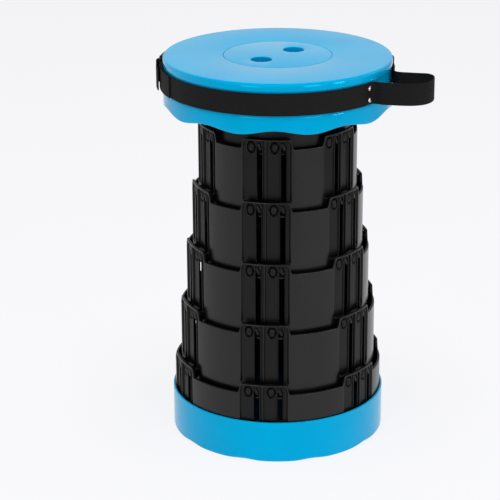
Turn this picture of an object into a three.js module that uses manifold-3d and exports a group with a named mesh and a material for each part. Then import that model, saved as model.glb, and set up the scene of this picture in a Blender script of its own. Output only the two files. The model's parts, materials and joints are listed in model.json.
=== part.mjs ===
// Collapsible telescopic stool, drawn out to its full height.
// Millimetres, +Z up. The origin is the centre of the flat underside of the base, and -Y is the front.
// Angles are seen from above, in degrees from the front, growing towards +X.
import * as THREE from "three";
import { mergeVertices } from "three/addons/utils/BufferGeometryUtils.js";
import Module from "manifold-3d";

// Clearances shared by the whole stool
const FIT_GAP = 0.3;
const CUT_OVERRUN = 1;
const WELD_DISTANCE = 0.0005;

// Tiers: six rings that slide in each other, counted from the seat down
const TIER_COUNT = 6;
const TOP_TIER_RADIUS = 83.9;
const TIER_WALL = 3;
const TIER_SPACE = 4.6;
const TIER_HEIGHT = 90.2;
const TIER_OVERLAP = 19.7;

// Slot panels: six on each tier, each with a raised tab at the top and two guide slots
const PANEL_COUNT = 6;
const FIRST_PANEL_ANGLE = -7.7;
const TAB_WIDTH = 52;
const TAB_SLOPE = 4.3;
const TAB_RISE = 11.5;
const SLOT_OFFSETS = [-7.4, 19.6];
const SLOT_WIDTH = 6.3;
const SLOT_TOP_BRIDGE = 4.2;
const SLOT_FOOT_BRIDGE = 5;
const HOOK_REACH = 4.6;
const HOOK_WIDTH = 3.4;
const HOOK_DROP = 8.2;
const FLAT_LEFT_EDGES = [-23.5, 1.3];
const FLAT_TOPS = [5, 17];
const FLAT_RECESS = 1.6;
const GROOVE_WIDTH = 2;
const GROOVE_DEPTH = 1.6;
const GROOVE_TOP = 7;

// Foot of each sliding tier: guide pads, each with a lug that runs in a slot of the next tier
const LUG_HEIGHT = 9;
const PAD_WIDTH = 11;
const PAD_MARGIN = 0.8;
const FUSE_DEPTH = 0.5;

// Base: a shallow cup with a scalloped lower edge
const BASE_FLOOR = 3.5;
const BASE_WALL = 2.8;
const BASE_HEIGHT = 48.5;
const BASE_EDGE_ROUND = 1.2;
const SCALLOP_HEIGHT = 2;
const SCALLOP_DEPTH = 6;
const WAVE_COUNT = 10;

// Seat: a flat round top with a skirt whose lower edge rises and falls
const SEAT_TOP = 3;
const SEAT_CLEARANCE = 0.5;
const SKIRT_SPACE = 2.5;
const SKIRT_WALL = 3;
const SKIRT_DEPTH = 55.5;
const SKIRT_WAVE = 2.5;
const SKIRT_WAVE_ANGLE = -1.5;
const SEAT_EDGE_ROUND = 3;
const SEAT_NECK = 3;

// Centre plate: a lid in the middle of the seat, with two finger wells
const PLATE_RADIUS = 61.5;
const PLATE_THICKNESS = 2.4;
const PLATE_JOINT = 0.4;
const PLATE_LEDGE = 2.9;
const SCREW_FLOOR_DEPTH = 6.7;
const SCREW_FLOOR = 2.8;
const SCREW_FLOOR_WIDTH = 11;
const WELL_RADIUS = 12;
const WELL_WALL = 2;
const WELL_DEPTH = 22;
const WELL_SPACING = 58;
const WELL_ANGLE = 141;
const SNAP_COUNT = 4;
const SNAP_WIDTH = 8;
const SNAP_THICKNESS = 2.2;
const SNAP_CLEARANCE = 0.5;
const SNAP_BARB = 2.1;
const SNAP_BARB_HEIGHT = 1.8;

// Screws: one ring under the centre plate, one ring under the base
const SCREW_COUNT = 6;
const SCREW_RADIUS = 1.6;
const SCREW_HEAD_RADIUS = 2.9;
const SCREW_HEAD = 1.6;
const SCREW_LENGTH = 12;
const SCREW_TIP = 1.2;
const COUNTERBORE_DEPTH = 2;
const SCREW_COLUMN_RADIUS = 3.5;
const SCREW_COLUMN_HEIGHT = 16;
const TOP_WEB = 3;
const WEB_OPENING_SPACE = 3.5;

// Carrying strap: one webbing band round the skirt, out to a hand loop and back through a buckle
const STRAP_WIDTH = 25.3;
const STRAP_THICKNESS = 1.5;
const STRAP_DROP = 10.4;
const STRAP_CLEARANCE = 0.4;
const STRAP_STEP_ANGLE = 6;
const FRONT_RIVET_ANGLE = 49.5;
const BACK_RIVET_ANGLE = 93.5;
const RIVET_MARGIN = 6;
const LOOP_REACH = 55.4;
const LOOP_RISE = 9;
const LOOP_RISE_RADIUS = 40;
const DOUBLED_LENGTH = 86;
const TAIL_LENGTH = 51;
const TAIL_END_LIFT = 6.3;

// Route of the hand loop: [share of the way between its ends, share of its reach off the skirt]
const LOOP_SHARES = [
  [0, 0],
  [0.156, 0.39],
  [0.267, 0.68],
  [0.349, 0.895],
  [0.423, 1],
  [0.495, 0.998],
  [0.567, 0.92],
  [0.623, 0.745],
  [0.638, 0.44],
  [0.633, 0.22],
  [0.682, 0.1],
  [0.841, 0.034],
  [1, 0],
];
const LOOP_RISE_SHARES = LOOP_SHARES[9];

// Buckle: a flat frame with three bars
const BUCKLE_ANGLE = -102;
const BUCKLE_HEIGHT = 34;
const BUCKLE_BAR_PITCH = 11;
const BUCKLE_BAR = 3.2;
const BUCKLE_THICKNESS = 3;
const BUCKLE_CORNER = 3;
const BUCKLE_RAIL_GAP = 0.6;
const BUCKLE_LEAD = 8;
const BUCKLE_TURN = 3;

// Rivets and the washers behind them
const RIVET_SPACING = 13;
const RIVET_RADIUS = 1.5;
const RIVET_HEAD_RADIUS = 2.9;
const RIVET_HEAD = 1.6;
const RIVET_SHOULDER_SHARES = [0.8, 0.7];
const RIVET_TAIL_RADIUS = 2.4;
const RIVET_TAIL = 0.8;
const WASHER_RADIUS = 3.5;
const WASHER_THICKNESS = 0.8;

// How finely round things are divided
const TIER_SEGMENTS = 36;
const SEAT_SEGMENTS = 60;
const NECK_SEGMENTS = 36;
const WELL_SEGMENTS = 16;
const PIN_SEGMENTS = 8;
const ROUND_STEPS = 2;
const LOOP_STEPS = 30;
const SHARPEST_TURN_SHARE = 0.3;

// Worked out from the sizes above
const tierStep = TIER_WALL + TIER_SPACE;
const facetShare = Math.cos(Math.PI / TIER_SEGMENTS);
const tierPitch = TIER_HEIGHT - TIER_OVERLAP;
const tierRadius = (tier) => TOP_TIER_RADIUS + (tier - 1) * tierStep;
const tierBottom = (tier) => BASE_FLOOR + FIT_GAP + (TIER_COUNT - tier) * tierPitch;
const tierTop = (tier) => tierBottom(tier) + TIER_HEIGHT;
const lugBottom = TIER_OVERLAP - SLOT_TOP_BRIDGE - FIT_GAP - LUG_HEIGHT;
const lugTop = lugBottom + LUG_HEIGHT;
const padTop = lugTop + PAD_MARGIN;
const padInner = (tier) => tierRadius(tier) - 2 * FUSE_DEPTH;
const baseInner = tierRadius(TIER_COUNT) + FIT_GAP;
const baseRadius = baseInner + BASE_WALL;
const skirtInner = baseRadius + SKIRT_SPACE;
const seatRadius = skirtInner + SKIRT_WALL;
const seatUnderside = tierTop(1) + SEAT_CLEARANCE;
const seatTop = seatUnderside + SEAT_TOP;
const plateUnderside = seatTop - PLATE_THICKNESS;
const recessRadius = PLATE_RADIUS + PLATE_JOINT;
const ledgeInner = recessRadius - PLATE_LEDGE;
const floorTop = seatTop - SCREW_FLOOR_DEPTH;
const floorBottom = floorTop - SCREW_FLOOR;
const floorInner = ledgeInner - SCREW_FLOOR_WIDTH;
const webTop = floorBottom - FIT_GAP;
const webOpening = floorInner + WEB_OPENING_SPACE;
const seatScrewCircle = webOpening + SCREW_COLUMN_RADIUS + FIT_GAP;
const baseScrewCircle = tierRadius(TIER_COUNT) - SCREW_COLUMN_RADIUS;
const screwHoleRadius = SCREW_RADIUS + FIT_GAP;
const strapTop = seatTop - STRAP_DROP;
const strapMiddle = strapTop - STRAP_WIDTH / 2;
const strapBottom = strapTop - STRAP_WIDTH;
const strapLift = STRAP_CLEARANCE + STRAP_THICKNESS / 2;
const layerStep = STRAP_THICKNESS + FIT_GAP;
const buckleLift = strapLift + STRAP_THICKNESS / 2 + STRAP_CLEARANCE;
const overBuckle = buckleLift + BUCKLE_THICKNESS + FIT_GAP + STRAP_THICKNESS / 2;
const rivetHoleRadius = RIVET_RADIUS + FIT_GAP;

const wasm = await Module();
wasm.setup();

const stool = new THREE.Group();

const bluePlastic = new THREE.MeshStandardMaterial({ color: "#00a3dc", roughness: 0.22, metalness: 0 });
const blackPlastic = new THREE.MeshStandardMaterial({ color: "#2b2b2c", roughness: 0.42, metalness: 0 });
const webbing = new THREE.MeshStandardMaterial({ color: "#242425", roughness: 0.9, metalness: 0 });
const bucklePlastic = new THREE.MeshStandardMaterial({ color: "#1d1d1e", roughness: 0.5, metalness: 0 });
const rivetMetal = new THREE.MeshStandardMaterial({ color: "#c9cbcc", roughness: 0.2, metalness: 1 });
const screwSteel = new THREE.MeshStandardMaterial({ color: "#a7a9ab", roughness: 0.35, metalness: 1 });

// Turns a closed three.js geometry into a solid that can be joined and cut
function solid(geometry) {
  const bare = geometry.clone();
  bare.deleteAttribute("normal");
  bare.deleteAttribute("uv");
  const merged = mergeVertices(bare, WELD_DISTANCE);
  const corners = merged.index.array;
  const kept = [];
  for (let i = 0; i < corners.length; i += 3) {
    const [a, b, c] = [corners[i], corners[i + 1], corners[i + 2]];
    if (a !== b && b !== c && c !== a) kept.push(a, b, c);
  }
  const vertProperties = merged.attributes.position.array;
  const triVerts = new Uint32Array(kept);
  return new wasm.Manifold(new wasm.Mesh({ numProp: 3, vertProperties, triVerts }));
}

// Names a solid as one piece of the stool
function addPiece(name, shape, material) {
  const mesh = shape.getMesh();
  const geometry = new THREE.BufferGeometry();
  geometry.setAttribute("position", new THREE.BufferAttribute(mesh.vertProperties, 3));
  geometry.setIndex(new THREE.BufferAttribute(mesh.triVerts, 1));
  geometry.computeVertexNormals();
  const piece = new THREE.Mesh(geometry, material);
  piece.name = name;
  stool.add(piece);
}

const radians = (degrees) => THREE.MathUtils.degToRad(degrees);
const anglesRound = (count, first) => Array.from({ length: count }, (_, i) => first + (i * 360) / count);

// A solid of revolution about the stool's axis. Its outline of [radius, height] pairs runs clockwise.
function turned(outline, segments, shapeVertex) {
  const closed = [...outline, outline[0]].reverse();
  const points = closed.map(([radius, height]) => new THREE.Vector2(radius, height));
  const geometry = new THREE.LatheGeometry(points, segments);
  geometry.rotateX(Math.PI / 2);
  if (shapeVertex) {
    const position = geometry.attributes.position;
    for (let i = 0; i < position.count; i += 1) {
      const [x, y, z] = [position.getX(i), position.getY(i), position.getZ(i)];
      position.setZ(i, z + shapeVertex(Math.hypot(x, y), Math.atan2(x, -y), z));
    }
  }
  return solid(geometry);
}

// A flat outline of [sideways, height] pairs, extruded outwards from one radius to another
function facing(outline, innerRadius, outerRadius, angle) {
  const shape = new THREE.Shape(outline.map(([across, height]) => new THREE.Vector2(across, height)));
  const geometry = new THREE.ExtrudeGeometry(shape, {
    depth: outerRadius - innerRadius,
    bevelEnabled: false,
  });
  geometry.translate(0, 0, innerRadius);
  geometry.rotateX(Math.PI / 2);
  geometry.rotateZ(radians(angle));
  return solid(geometry);
}

const rectangle = (left, right, bottom, top) => [
  [left, bottom],
  [right, bottom],
  [right, top],
  [left, top],
];

// An upright round bar at a place given by its distance from the axis and its angle
function uprightBar(barRadius, bottom, top, distance, angle, segments) {
  const geometry = new THREE.CylinderGeometry(barRadius, barRadius, top - bottom, segments);
  geometry.rotateX(Math.PI / 2);
  geometry.translate(0, -distance, (top + bottom) / 2);
  geometry.rotateZ(radians(angle));
  return solid(geometry);
}

// Points of a quarter round from one direction to the next, in degrees from the +radius direction
function quarterRound(centreRadius, centreHeight, round, fromDegrees, toDegrees) {
  return Array.from({ length: ROUND_STEPS + 1 }, (_, i) => {
    const angle = radians(fromDegrees + ((toDegrees - fromDegrees) * i) / ROUND_STEPS);
    return [centreRadius + round * Math.cos(angle), centreHeight + round * Math.sin(angle)];
  });
}

const panelAngles = anglesRound(PANEL_COUNT, FIRST_PANEL_ANGLE);
const smoothAngles = panelAngles.map((angle) => angle + 180 / PANEL_COUNT);
const slotAngle = (panelAngle, offset, radius) => panelAngle + THREE.MathUtils.radToDeg(offset / radius);

// Outline of one guide slot: straight, with a hook that runs up to the left at its top
function slotOutline(tabTop, bottom) {
  const half = SLOT_WIDTH / 2;
  const top = tabTop - SLOT_TOP_BRIDGE;
  return [
    [-half, bottom],
    [half, bottom],
    [half, top],
    [-half - HOOK_REACH, top],
    [-half - HOOK_REACH, top - HOOK_WIDTH],
    [-half, top - HOOK_DROP - HOOK_WIDTH / 2],
  ];
}

// Top edge of a tier: the smooth panels end lower than the tabs, with sloped shoulders between
function notchOutline(radius, top) {
  const acrossAt = (panelWidth) => radius * Math.sin(Math.PI / PANEL_COUNT - panelWidth / 2 / radius);
  const wide = acrossAt(TAB_WIDTH);
  const narrow = acrossAt(TAB_WIDTH + 2 * TAB_SLOPE);
  const above = wide + (wide - narrow) * (CUT_OVERRUN / TAB_RISE);
  return [
    [-narrow, top - TAB_RISE],
    [narrow, top - TAB_RISE],
    [above, top + CUT_OVERRUN],
    [-above, top + CUT_OVERRUN],
  ];
}

// The foot of a sliding tier: a guide pad and its lug for each slot of the next tier
function addFoot(tier, ring) {
  const radius = tierRadius(tier);
  const next = tierRadius(tier + 1);
  const bottom = tierBottom(tier);
  const inner = padInner(tier);
  const lugOuter = padInner(tier + 1) - FIT_GAP;
  const padOuter = Math.sqrt((facetShare * (radius + TIER_SPACE) - FIT_GAP) ** 2 - (PAD_WIDTH / 2) ** 2);
  const lugHalf = SLOT_WIDTH / 2 - FIT_GAP;
  const pad = rectangle(-PAD_WIDTH / 2, PAD_WIDTH / 2, bottom, bottom + padTop);
  const lug = rectangle(-lugHalf, lugHalf, bottom + lugBottom, bottom + lugTop);
  let joined = ring;
  for (const panelAngle of panelAngles) {
    for (const offset of SLOT_OFFSETS) {
      const angle = slotAngle(panelAngle, offset, next);
      joined = joined.add(facing(pad, inner, padOuter, angle));
      joined = joined.add(facing(lug, inner + FUSE_DEPTH, lugOuter, angle));
    }
  }
  return joined;
}

// Shallow cuts in the face of a slot panel: a flat beside each slot, and a groove down each edge of the tab
function panelRelief(tier, panelAngle) {
  const radius = tierRadius(tier);
  const bottom = tierBottom(tier) + padTop;
  const top = tierTop(tier);
  const flats = SLOT_OFFSETS.map((offset, i) => {
    const half = (offset - FLAT_LEFT_EDGES[i]) / 2;
    const outline = rectangle(-half, half, bottom, top - FLAT_TOPS[i]);
    const angle = slotAngle(panelAngle, offset - half, radius);
    return facing(outline, radius - FLAT_RECESS, radius + CUT_OVERRUN, angle);
  });
  const groove = rectangle(-GROOVE_WIDTH / 2, GROOVE_WIDTH / 2, bottom, top - GROOVE_TOP);
  const grooves = [-TAB_WIDTH / 2, TAB_WIDTH / 2].map((offset) => {
    const angle = slotAngle(panelAngle, offset, radius);
    return facing(groove, radius - GROOVE_DEPTH, radius + CUT_OVERRUN, angle);
  });
  return [...flats, ...grooves];
}

// Wall of a tier with its slots and the stepped top edge cut in
function tierWall(tier) {
  const radius = tierRadius(tier);
  const inner = radius - TIER_WALL;
  const bottom = tierBottom(tier);
  const top = tierTop(tier);
  let wall = turned(
    [
      [inner, bottom],
      [inner, top],
      [radius, top],
      [radius, bottom],
    ],
    TIER_SEGMENTS,
  );
  if (tier === 1) return wall;
  for (const angle of smoothAngles) {
    wall = wall.subtract(facing(notchOutline(radius, top), radius / 2, radius + CUT_OVERRUN, angle));
  }
  for (const panelAngle of panelAngles) {
    for (const offset of SLOT_OFFSETS) {
      const outline = slotOutline(top, bottom + SLOT_FOOT_BRIDGE);
      const angle = slotAngle(panelAngle, offset, radius);
      const cutter = facing(outline, inner - TIER_WALL, radius + CUT_OVERRUN, angle);
      wall = wall.subtract(cutter);
    }
    for (const cutter of panelRelief(tier, panelAngle)) wall = wall.subtract(cutter);
  }
  return wall;
}

// The top tier has no slots. An inward web with screw columns carries the seat.
function addTopWeb(ring) {
  const inner = tierRadius(1) - TIER_WALL;
  const web = turned(
    [
      [webOpening, webTop - TOP_WEB],
      [webOpening, webTop],
      [inner + FUSE_DEPTH, webTop],
      [inner + FUSE_DEPTH, webTop - TOP_WEB],
    ],
    TIER_SEGMENTS,
  );
  let joined = ring.add(web);
  for (const angle of anglesRound(SCREW_COUNT, 0)) {
    const place = [seatScrewCircle, angle, PIN_SEGMENTS];
    const columnBottom = webTop - SCREW_LENGTH;
    joined = joined.add(uprightBar(SCREW_COLUMN_RADIUS, columnBottom, webTop - FUSE_DEPTH, ...place));
  }
  for (const angle of anglesRound(SCREW_COUNT, 0)) {
    const place = [seatScrewCircle, angle, PIN_SEGMENTS];
    const boreBottom = floorTop + FIT_GAP - SCREW_LENGTH - FIT_GAP;
    joined = joined.subtract(uprightBar(screwHoleRadius, boreBottom, webTop + CUT_OVERRUN, ...place));
  }
  return joined;
}

// The lowest tier is screwed to the base through columns inside its smooth panels
function addScrewColumns(ring) {
  const bottom = tierBottom(TIER_COUNT);
  let joined = ring;
  for (const angle of smoothAngles) {
    const place = [baseScrewCircle, angle, PIN_SEGMENTS];
    const column = uprightBar(SCREW_COLUMN_RADIUS, bottom, bottom + SCREW_COLUMN_HEIGHT, ...place);
    const bore = uprightBar(screwHoleRadius, bottom - CUT_OVERRUN, bottom + SCREW_LENGTH, ...place);
    joined = joined.add(column).subtract(bore);
  }
  return joined;
}

function makeTiers() {
  for (let tier = 1; tier <= TIER_COUNT; tier += 1) {
    let ring = tierWall(tier);
    if (tier === 1) ring = addTopWeb(ring);
    if (tier < TIER_COUNT) ring = addFoot(tier, ring);
    else ring = addScrewColumns(ring);
    addPiece(`tier_${tier}`, ring, blackPlastic);
  }
}

// Base cup. Its lower edge lifts a little between ten places where it meets the floor.
function makeBase() {
  const rimRound = Math.min(BASE_EDGE_ROUND, BASE_WALL / 2);
  const lift = (radius, angle, height) => {
    if (height !== 0 || radius < baseRadius - SCALLOP_DEPTH / 2) return 0;
    return (SCALLOP_HEIGHT / 2) * (1 - Math.cos(WAVE_COUNT * angle));
  };
  let cup = turned(
    [
      [0, 0],
      [0, BASE_FLOOR],
      [baseInner, BASE_FLOOR],
      [baseInner, BASE_HEIGHT - rimRound],
      [baseInner + rimRound, BASE_HEIGHT],
      ...quarterRound(baseRadius - rimRound, BASE_HEIGHT - rimRound, rimRound, 90, 0),
      [baseRadius, 0],
      [baseRadius - SCALLOP_DEPTH, 0],
    ],
    SEAT_SEGMENTS,
    lift,
  );
  for (const angle of smoothAngles) {
    const place = [baseScrewCircle, angle, PIN_SEGMENTS];
    cup = cup.subtract(uprightBar(screwHoleRadius, -CUT_OVERRUN, BASE_FLOOR + CUT_OVERRUN, ...place));
    const headHole = SCREW_HEAD_RADIUS + FIT_GAP;
    cup = cup.subtract(uprightBar(headHole, -CUT_OVERRUN, COUNTERBORE_DEPTH, ...place));
  }
  addPiece("base_shell", cup, bluePlastic);
}

// Seat: the skirt and the outer part of the top, then the stepped neck that holds the centre plate
function makeSeat() {
  const lowEdge = seatTop - SKIRT_DEPTH;
  const joinRadius = (recessRadius + skirtInner) / 2;
  const wave = (radius, angle, height) => {
    if (Math.abs(height - lowEdge) > SKIRT_WAVE / 2) return 0;
    return SKIRT_WAVE * Math.cos(WAVE_COUNT * (angle - radians(SKIRT_WAVE_ANGLE)));
  };
  const outer = turned(
    [
      [joinRadius, seatUnderside],
      [joinRadius, seatTop],
      ...quarterRound(seatRadius - SEAT_EDGE_ROUND, seatTop - SEAT_EDGE_ROUND, SEAT_EDGE_ROUND, 90, 0),
      [seatRadius, lowEdge],
      [skirtInner, lowEdge],
      [skirtInner, seatUnderside],
    ],
    SEAT_SEGMENTS,
    wave,
  );
  const neck = turned(
    [
      [floorInner, floorBottom],
      [floorInner, floorTop],
      [ledgeInner, floorTop],
      [ledgeInner, plateUnderside - FIT_GAP],
      [recessRadius, plateUnderside - FIT_GAP],
      [recessRadius, seatTop],
      [joinRadius + FUSE_DEPTH, seatTop],
      [joinRadius + FUSE_DEPTH, seatUnderside],
      [recessRadius + SEAT_NECK, seatUnderside],
      [ledgeInner + SEAT_NECK, floorBottom],
    ],
    NECK_SEGMENTS,
  );
  let seat = outer.add(neck);
  for (const angle of anglesRound(SCREW_COUNT, 0)) {
    const place = [seatScrewCircle, angle, PIN_SEGMENTS];
    const hole = uprightBar(screwHoleRadius, floorBottom - CUT_OVERRUN, floorTop + CUT_OVERRUN, ...place);
    seat = seat.subtract(hole);
  }
  for (const place of rivetPlaces) {
    const hole = rivetBar(rivetHoleRadius, skirtInner - CUT_OVERRUN, seatRadius + CUT_OVERRUN, place);
    seat = seat.subtract(hole);
  }
  addPiece("seat_shell", seat, bluePlastic);
}

// Centre plate: a disc with two blind finger wells, and snap hooks that grip under the seat's screw floor
function makeCentrePlate() {
  let plate = turned(
    [
      [0, plateUnderside],
      [0, seatTop],
      [PLATE_RADIUS, seatTop],
      [PLATE_RADIUS, plateUnderside],
    ],
    NECK_SEGMENTS,
  );
  const wellBottom = seatTop - WELL_DEPTH;
  const wellPlaces = [WELL_ANGLE, WELL_ANGLE + 180].map((angle) => [WELL_SPACING / 2, angle, WELL_SEGMENTS]);
  const cupBottom = wellBottom - WELL_WALL;
  for (const place of wellPlaces) {
    plate = plate.add(uprightBar(WELL_RADIUS + WELL_WALL, cupBottom, plateUnderside + FUSE_DEPTH, ...place));
  }
  for (const place of wellPlaces) {
    plate = plate.subtract(uprightBar(WELL_RADIUS, wellBottom, seatTop + CUT_OVERRUN, ...place));
  }
  const stemOuter = floorInner - SNAP_CLEARANCE;
  const stemInner = stemOuter - SNAP_THICKNESS;
  const barbTop = floorBottom - FIT_GAP;
  const barbBottom = barbTop - SNAP_BARB_HEIGHT;
  const half = SNAP_WIDTH / 2;
  for (const angle of anglesRound(SNAP_COUNT, 0)) {
    const stem = rectangle(-half, half, barbBottom, plateUnderside + FUSE_DEPTH);
    const barb = rectangle(-half, half, barbBottom, barbTop);
    plate = plate.add(facing(stem, stemInner, stemOuter, angle));
    plate = plate.add(facing(barb, stemInner, stemOuter + SNAP_BARB, angle));
  }
  addPiece("centre_plate", plate, bluePlastic);
}

// A pan-head screw along the stool's axis: its head seats at headZ, and drive is +1 for a screw driven up
function makeScrew(name, distance, angle, headZ, drive) {
  const outline = [
    [0, -SCREW_HEAD],
    [SCREW_HEAD_RADIUS - SCREW_TIP / 2, -SCREW_HEAD],
    [SCREW_HEAD_RADIUS, -SCREW_HEAD / 2],
    [SCREW_HEAD_RADIUS, 0],
    [SCREW_RADIUS, 0],
    [SCREW_RADIUS, SCREW_LENGTH - SCREW_TIP - FIT_GAP],
    [0, SCREW_LENGTH - FIT_GAP],
  ];
  const points = outline.map(([radius, height]) => new THREE.Vector2(radius, height));
  const geometry = new THREE.LatheGeometry(points, PIN_SEGMENTS);
  geometry.rotateX(drive > 0 ? Math.PI / 2 : -Math.PI / 2);
  geometry.translate(0, -distance, headZ);
  geometry.rotateZ(radians(angle));
  addPiece(name, solid(geometry), screwSteel);
}

function makeScrews() {
  const seatHead = floorTop + FIT_GAP;
  anglesRound(SCREW_COUNT, 0).forEach((angle, i) => {
    makeScrew(`seat_screw_${i + 1}`, seatScrewCircle, angle, seatHead, -1);
  });
  const baseHead = COUNTERBORE_DEPTH - FIT_GAP;
  smoothAngles.forEach((angle, i) => {
    makeScrew(`base_screw_${i + 1}`, baseScrewCircle, angle, baseHead, 1);
  });
}

// Rivets lie along a radius, in upright pairs where the loop meets the band
const rivetPlaces = [
  ["front_rivet_upper", FRONT_RIVET_ANGLE, strapMiddle + RIVET_SPACING / 2],
  ["front_rivet_lower", FRONT_RIVET_ANGLE, strapMiddle - RIVET_SPACING / 2],
  ["back_rivet_upper", BACK_RIVET_ANGLE, strapMiddle + RIVET_SPACING / 2],
  ["back_rivet_lower", BACK_RIVET_ANGLE, strapMiddle - RIVET_SPACING / 2],
].map(([name, angle, height]) => ({ name, angle, height }));

// Turns an outline of [radius, distance from the stool's axis] pairs about a rivet's own axis
function rivetTurned(outline, place) {
  const points = outline.map(([radius, height]) => new THREE.Vector2(radius, height));
  const geometry = new THREE.LatheGeometry(points, PIN_SEGMENTS);
  geometry.rotateX(Math.PI);
  geometry.translate(0, 0, place.height);
  geometry.rotateZ(radians(place.angle));
  return solid(geometry);
}

function rivetBar(radius, inner, outer, place) {
  return rivetTurned(
    [
      [0, inner],
      [radius, inner],
      [radius, outer],
      [0, outer],
    ],
    place,
  );
}

function makeRivets() {
  const headSeat = seatRadius + strapLift + STRAP_THICKNESS / 2 + FIT_GAP;
  const washerOuter = skirtInner - FIT_GAP;
  const washerInner = washerOuter - WASHER_THICKNESS;
  const tailSeat = washerInner - FIT_GAP;
  const [shoulder, shoulderHeight] = RIVET_SHOULDER_SHARES;
  for (const place of rivetPlaces) {
    const rivet = rivetTurned(
      [
        [0, tailSeat - RIVET_TAIL],
        [RIVET_TAIL_RADIUS, tailSeat - RIVET_TAIL],
        [RIVET_TAIL_RADIUS, tailSeat],
        [RIVET_RADIUS, tailSeat],
        [RIVET_RADIUS, headSeat],
        [RIVET_HEAD_RADIUS, headSeat],
        [RIVET_HEAD_RADIUS * shoulder, headSeat + RIVET_HEAD * shoulderHeight],
        [0, headSeat + RIVET_HEAD],
      ],
      place,
    );
    addPiece(place.name, rivet, rivetMetal);
    const washer = rivetTurned(
      [
        [rivetHoleRadius, washerInner],
        [WASHER_RADIUS, washerInner],
        [WASHER_RADIUS, washerOuter],
        [rivetHoleRadius, washerOuter],
        [rivetHoleRadius, washerInner],
      ],
      place,
    );
    addPiece(place.name.replace("rivet", "washer"), washer, screwSteel);
  }
}

// A point at an angle and a lift off the skirt
function onSkirt(angle, lift) {
  const distance = seatRadius + lift;
  return new THREE.Vector2(distance * Math.sin(radians(angle)), -distance * Math.cos(radians(angle)));
}

// A point beside the buckle: along is towards the front end of the band, lift is off the skirt
function byBuckle(along, lift) {
  const sideways = new THREE.Vector2(Math.cos(radians(BUCKLE_ANGLE)), Math.sin(radians(BUCKLE_ANGLE)));
  return onSkirt(BUCKLE_ANGLE, lift).addScaledVector(sideways, along);
}

// The angle at a distance along the skirt from the buckle
const angleFromBuckle = (along) => BUCKLE_ANGLE + THREE.MathUtils.radToDeg(along / seatRadius);

// Points along the skirt between two angles, rising evenly from one lift to another
function alongSkirt(from, to, fromLift, toLift) {
  const steps = Math.max(1, Math.round(Math.abs(to - from) / STRAP_STEP_ANGLE));
  return Array.from({ length: steps + 1 }, (_, i) => {
    const share = i / steps;
    return onSkirt(from + (to - from) * share, fromLift + (toLift - fromLift) * share);
  });
}

const loopEndAngle = THREE.MathUtils.radToDeg(RIVET_MARGIN / seatRadius);
const loopStart = FRONT_RIVET_ANGLE + loopEndAngle;
const loopEnd = BACK_RIVET_ANGLE - loopEndAngle;

function onLoop([angleShare, reachShare]) {
  return onSkirt(loopStart + (loopEnd - loopStart) * angleShare, strapLift + LOOP_REACH * reachShare);
}

// Middle line of the webbing, seen from above. The sewn-back end lies on the band in front of the buckle,
// turns round the front bar, and the band runs round the stool to end as the free tail over the same bar.
function strapRoute() {
  const barInner = BUCKLE_BAR_PITCH - BUCKLE_BAR / 2;
  const barOuter = BUCKLE_BAR_PITCH + BUCKLE_BAR / 2;
  const turnAt = barInner - FIT_GAP - STRAP_THICKNESS / 2;
  const clear = barOuter + FIT_GAP;
  const leadAngle = angleFromBuckle(barOuter + BUCKLE_LEAD);
  const rearLeadAngle = angleFromBuckle(-barOuter - BUCKLE_LEAD) + 360;
  const loop = LOOP_SHARES.map(onLoop).map((point) => new THREE.Vector3(point.x, point.y, 0));
  const loopPoints = new THREE.CatmullRomCurve3(loop).getPoints(LOOP_STEPS);
  return [
    ...alongSkirt(angleFromBuckle(DOUBLED_LENGTH), leadAngle, strapLift + layerStep, strapLift + layerStep),
    byBuckle(clear, overBuckle),
    byBuckle(turnAt, overBuckle),
    byBuckle(turnAt, strapLift),
    byBuckle(clear, strapLift),
    ...alongSkirt(leadAngle, loopStart, strapLift, strapLift).slice(0, -1),
    ...loopPoints.map((point) => new THREE.Vector2(point.x, point.y)),
    ...alongSkirt(loopEnd, rearLeadAngle, strapLift, strapLift).slice(1),
    byBuckle(-clear, overBuckle),
    byBuckle(FIT_GAP + STRAP_THICKNESS / 2 - barInner, overBuckle),
    byBuckle(-BUCKLE_BAR, strapLift),
    byBuckle(BUCKLE_TURN, strapLift),
    byBuckle(turnAt - BUCKLE_TURN, overBuckle + layerStep),
    byBuckle(clear, overBuckle + layerStep),
    ...alongSkirt(leadAngle, angleFromBuckle(TAIL_LENGTH), overBuckle + layerStep / 2, TAIL_END_LIFT),
  ];
}

// Both faces of a band of even thickness along a route, as one closed outline
function bandOutline(route, thickness) {
  const faces = [[], []];
  route.forEach((point, i) => {
    const before = point.clone().sub(route[Math.max(i - 1, 0)]).normalize();
    const after = route[Math.min(i + 1, route.length - 1)].clone().sub(point).normalize();
    const along = before.clone().add(after).normalize();
    const turnShare = Math.max(along.dot(i > 0 ? before : after), SHARPEST_TURN_SHARE);
    const side = new THREE.Vector2(along.y, -along.x).multiplyScalar(thickness / 2 / turnShare);
    faces[0].push(point.clone().add(side));
    faces[1].push(point.clone().sub(side));
  });
  return [...faces[0], ...faces[1].reverse()];
}

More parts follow.
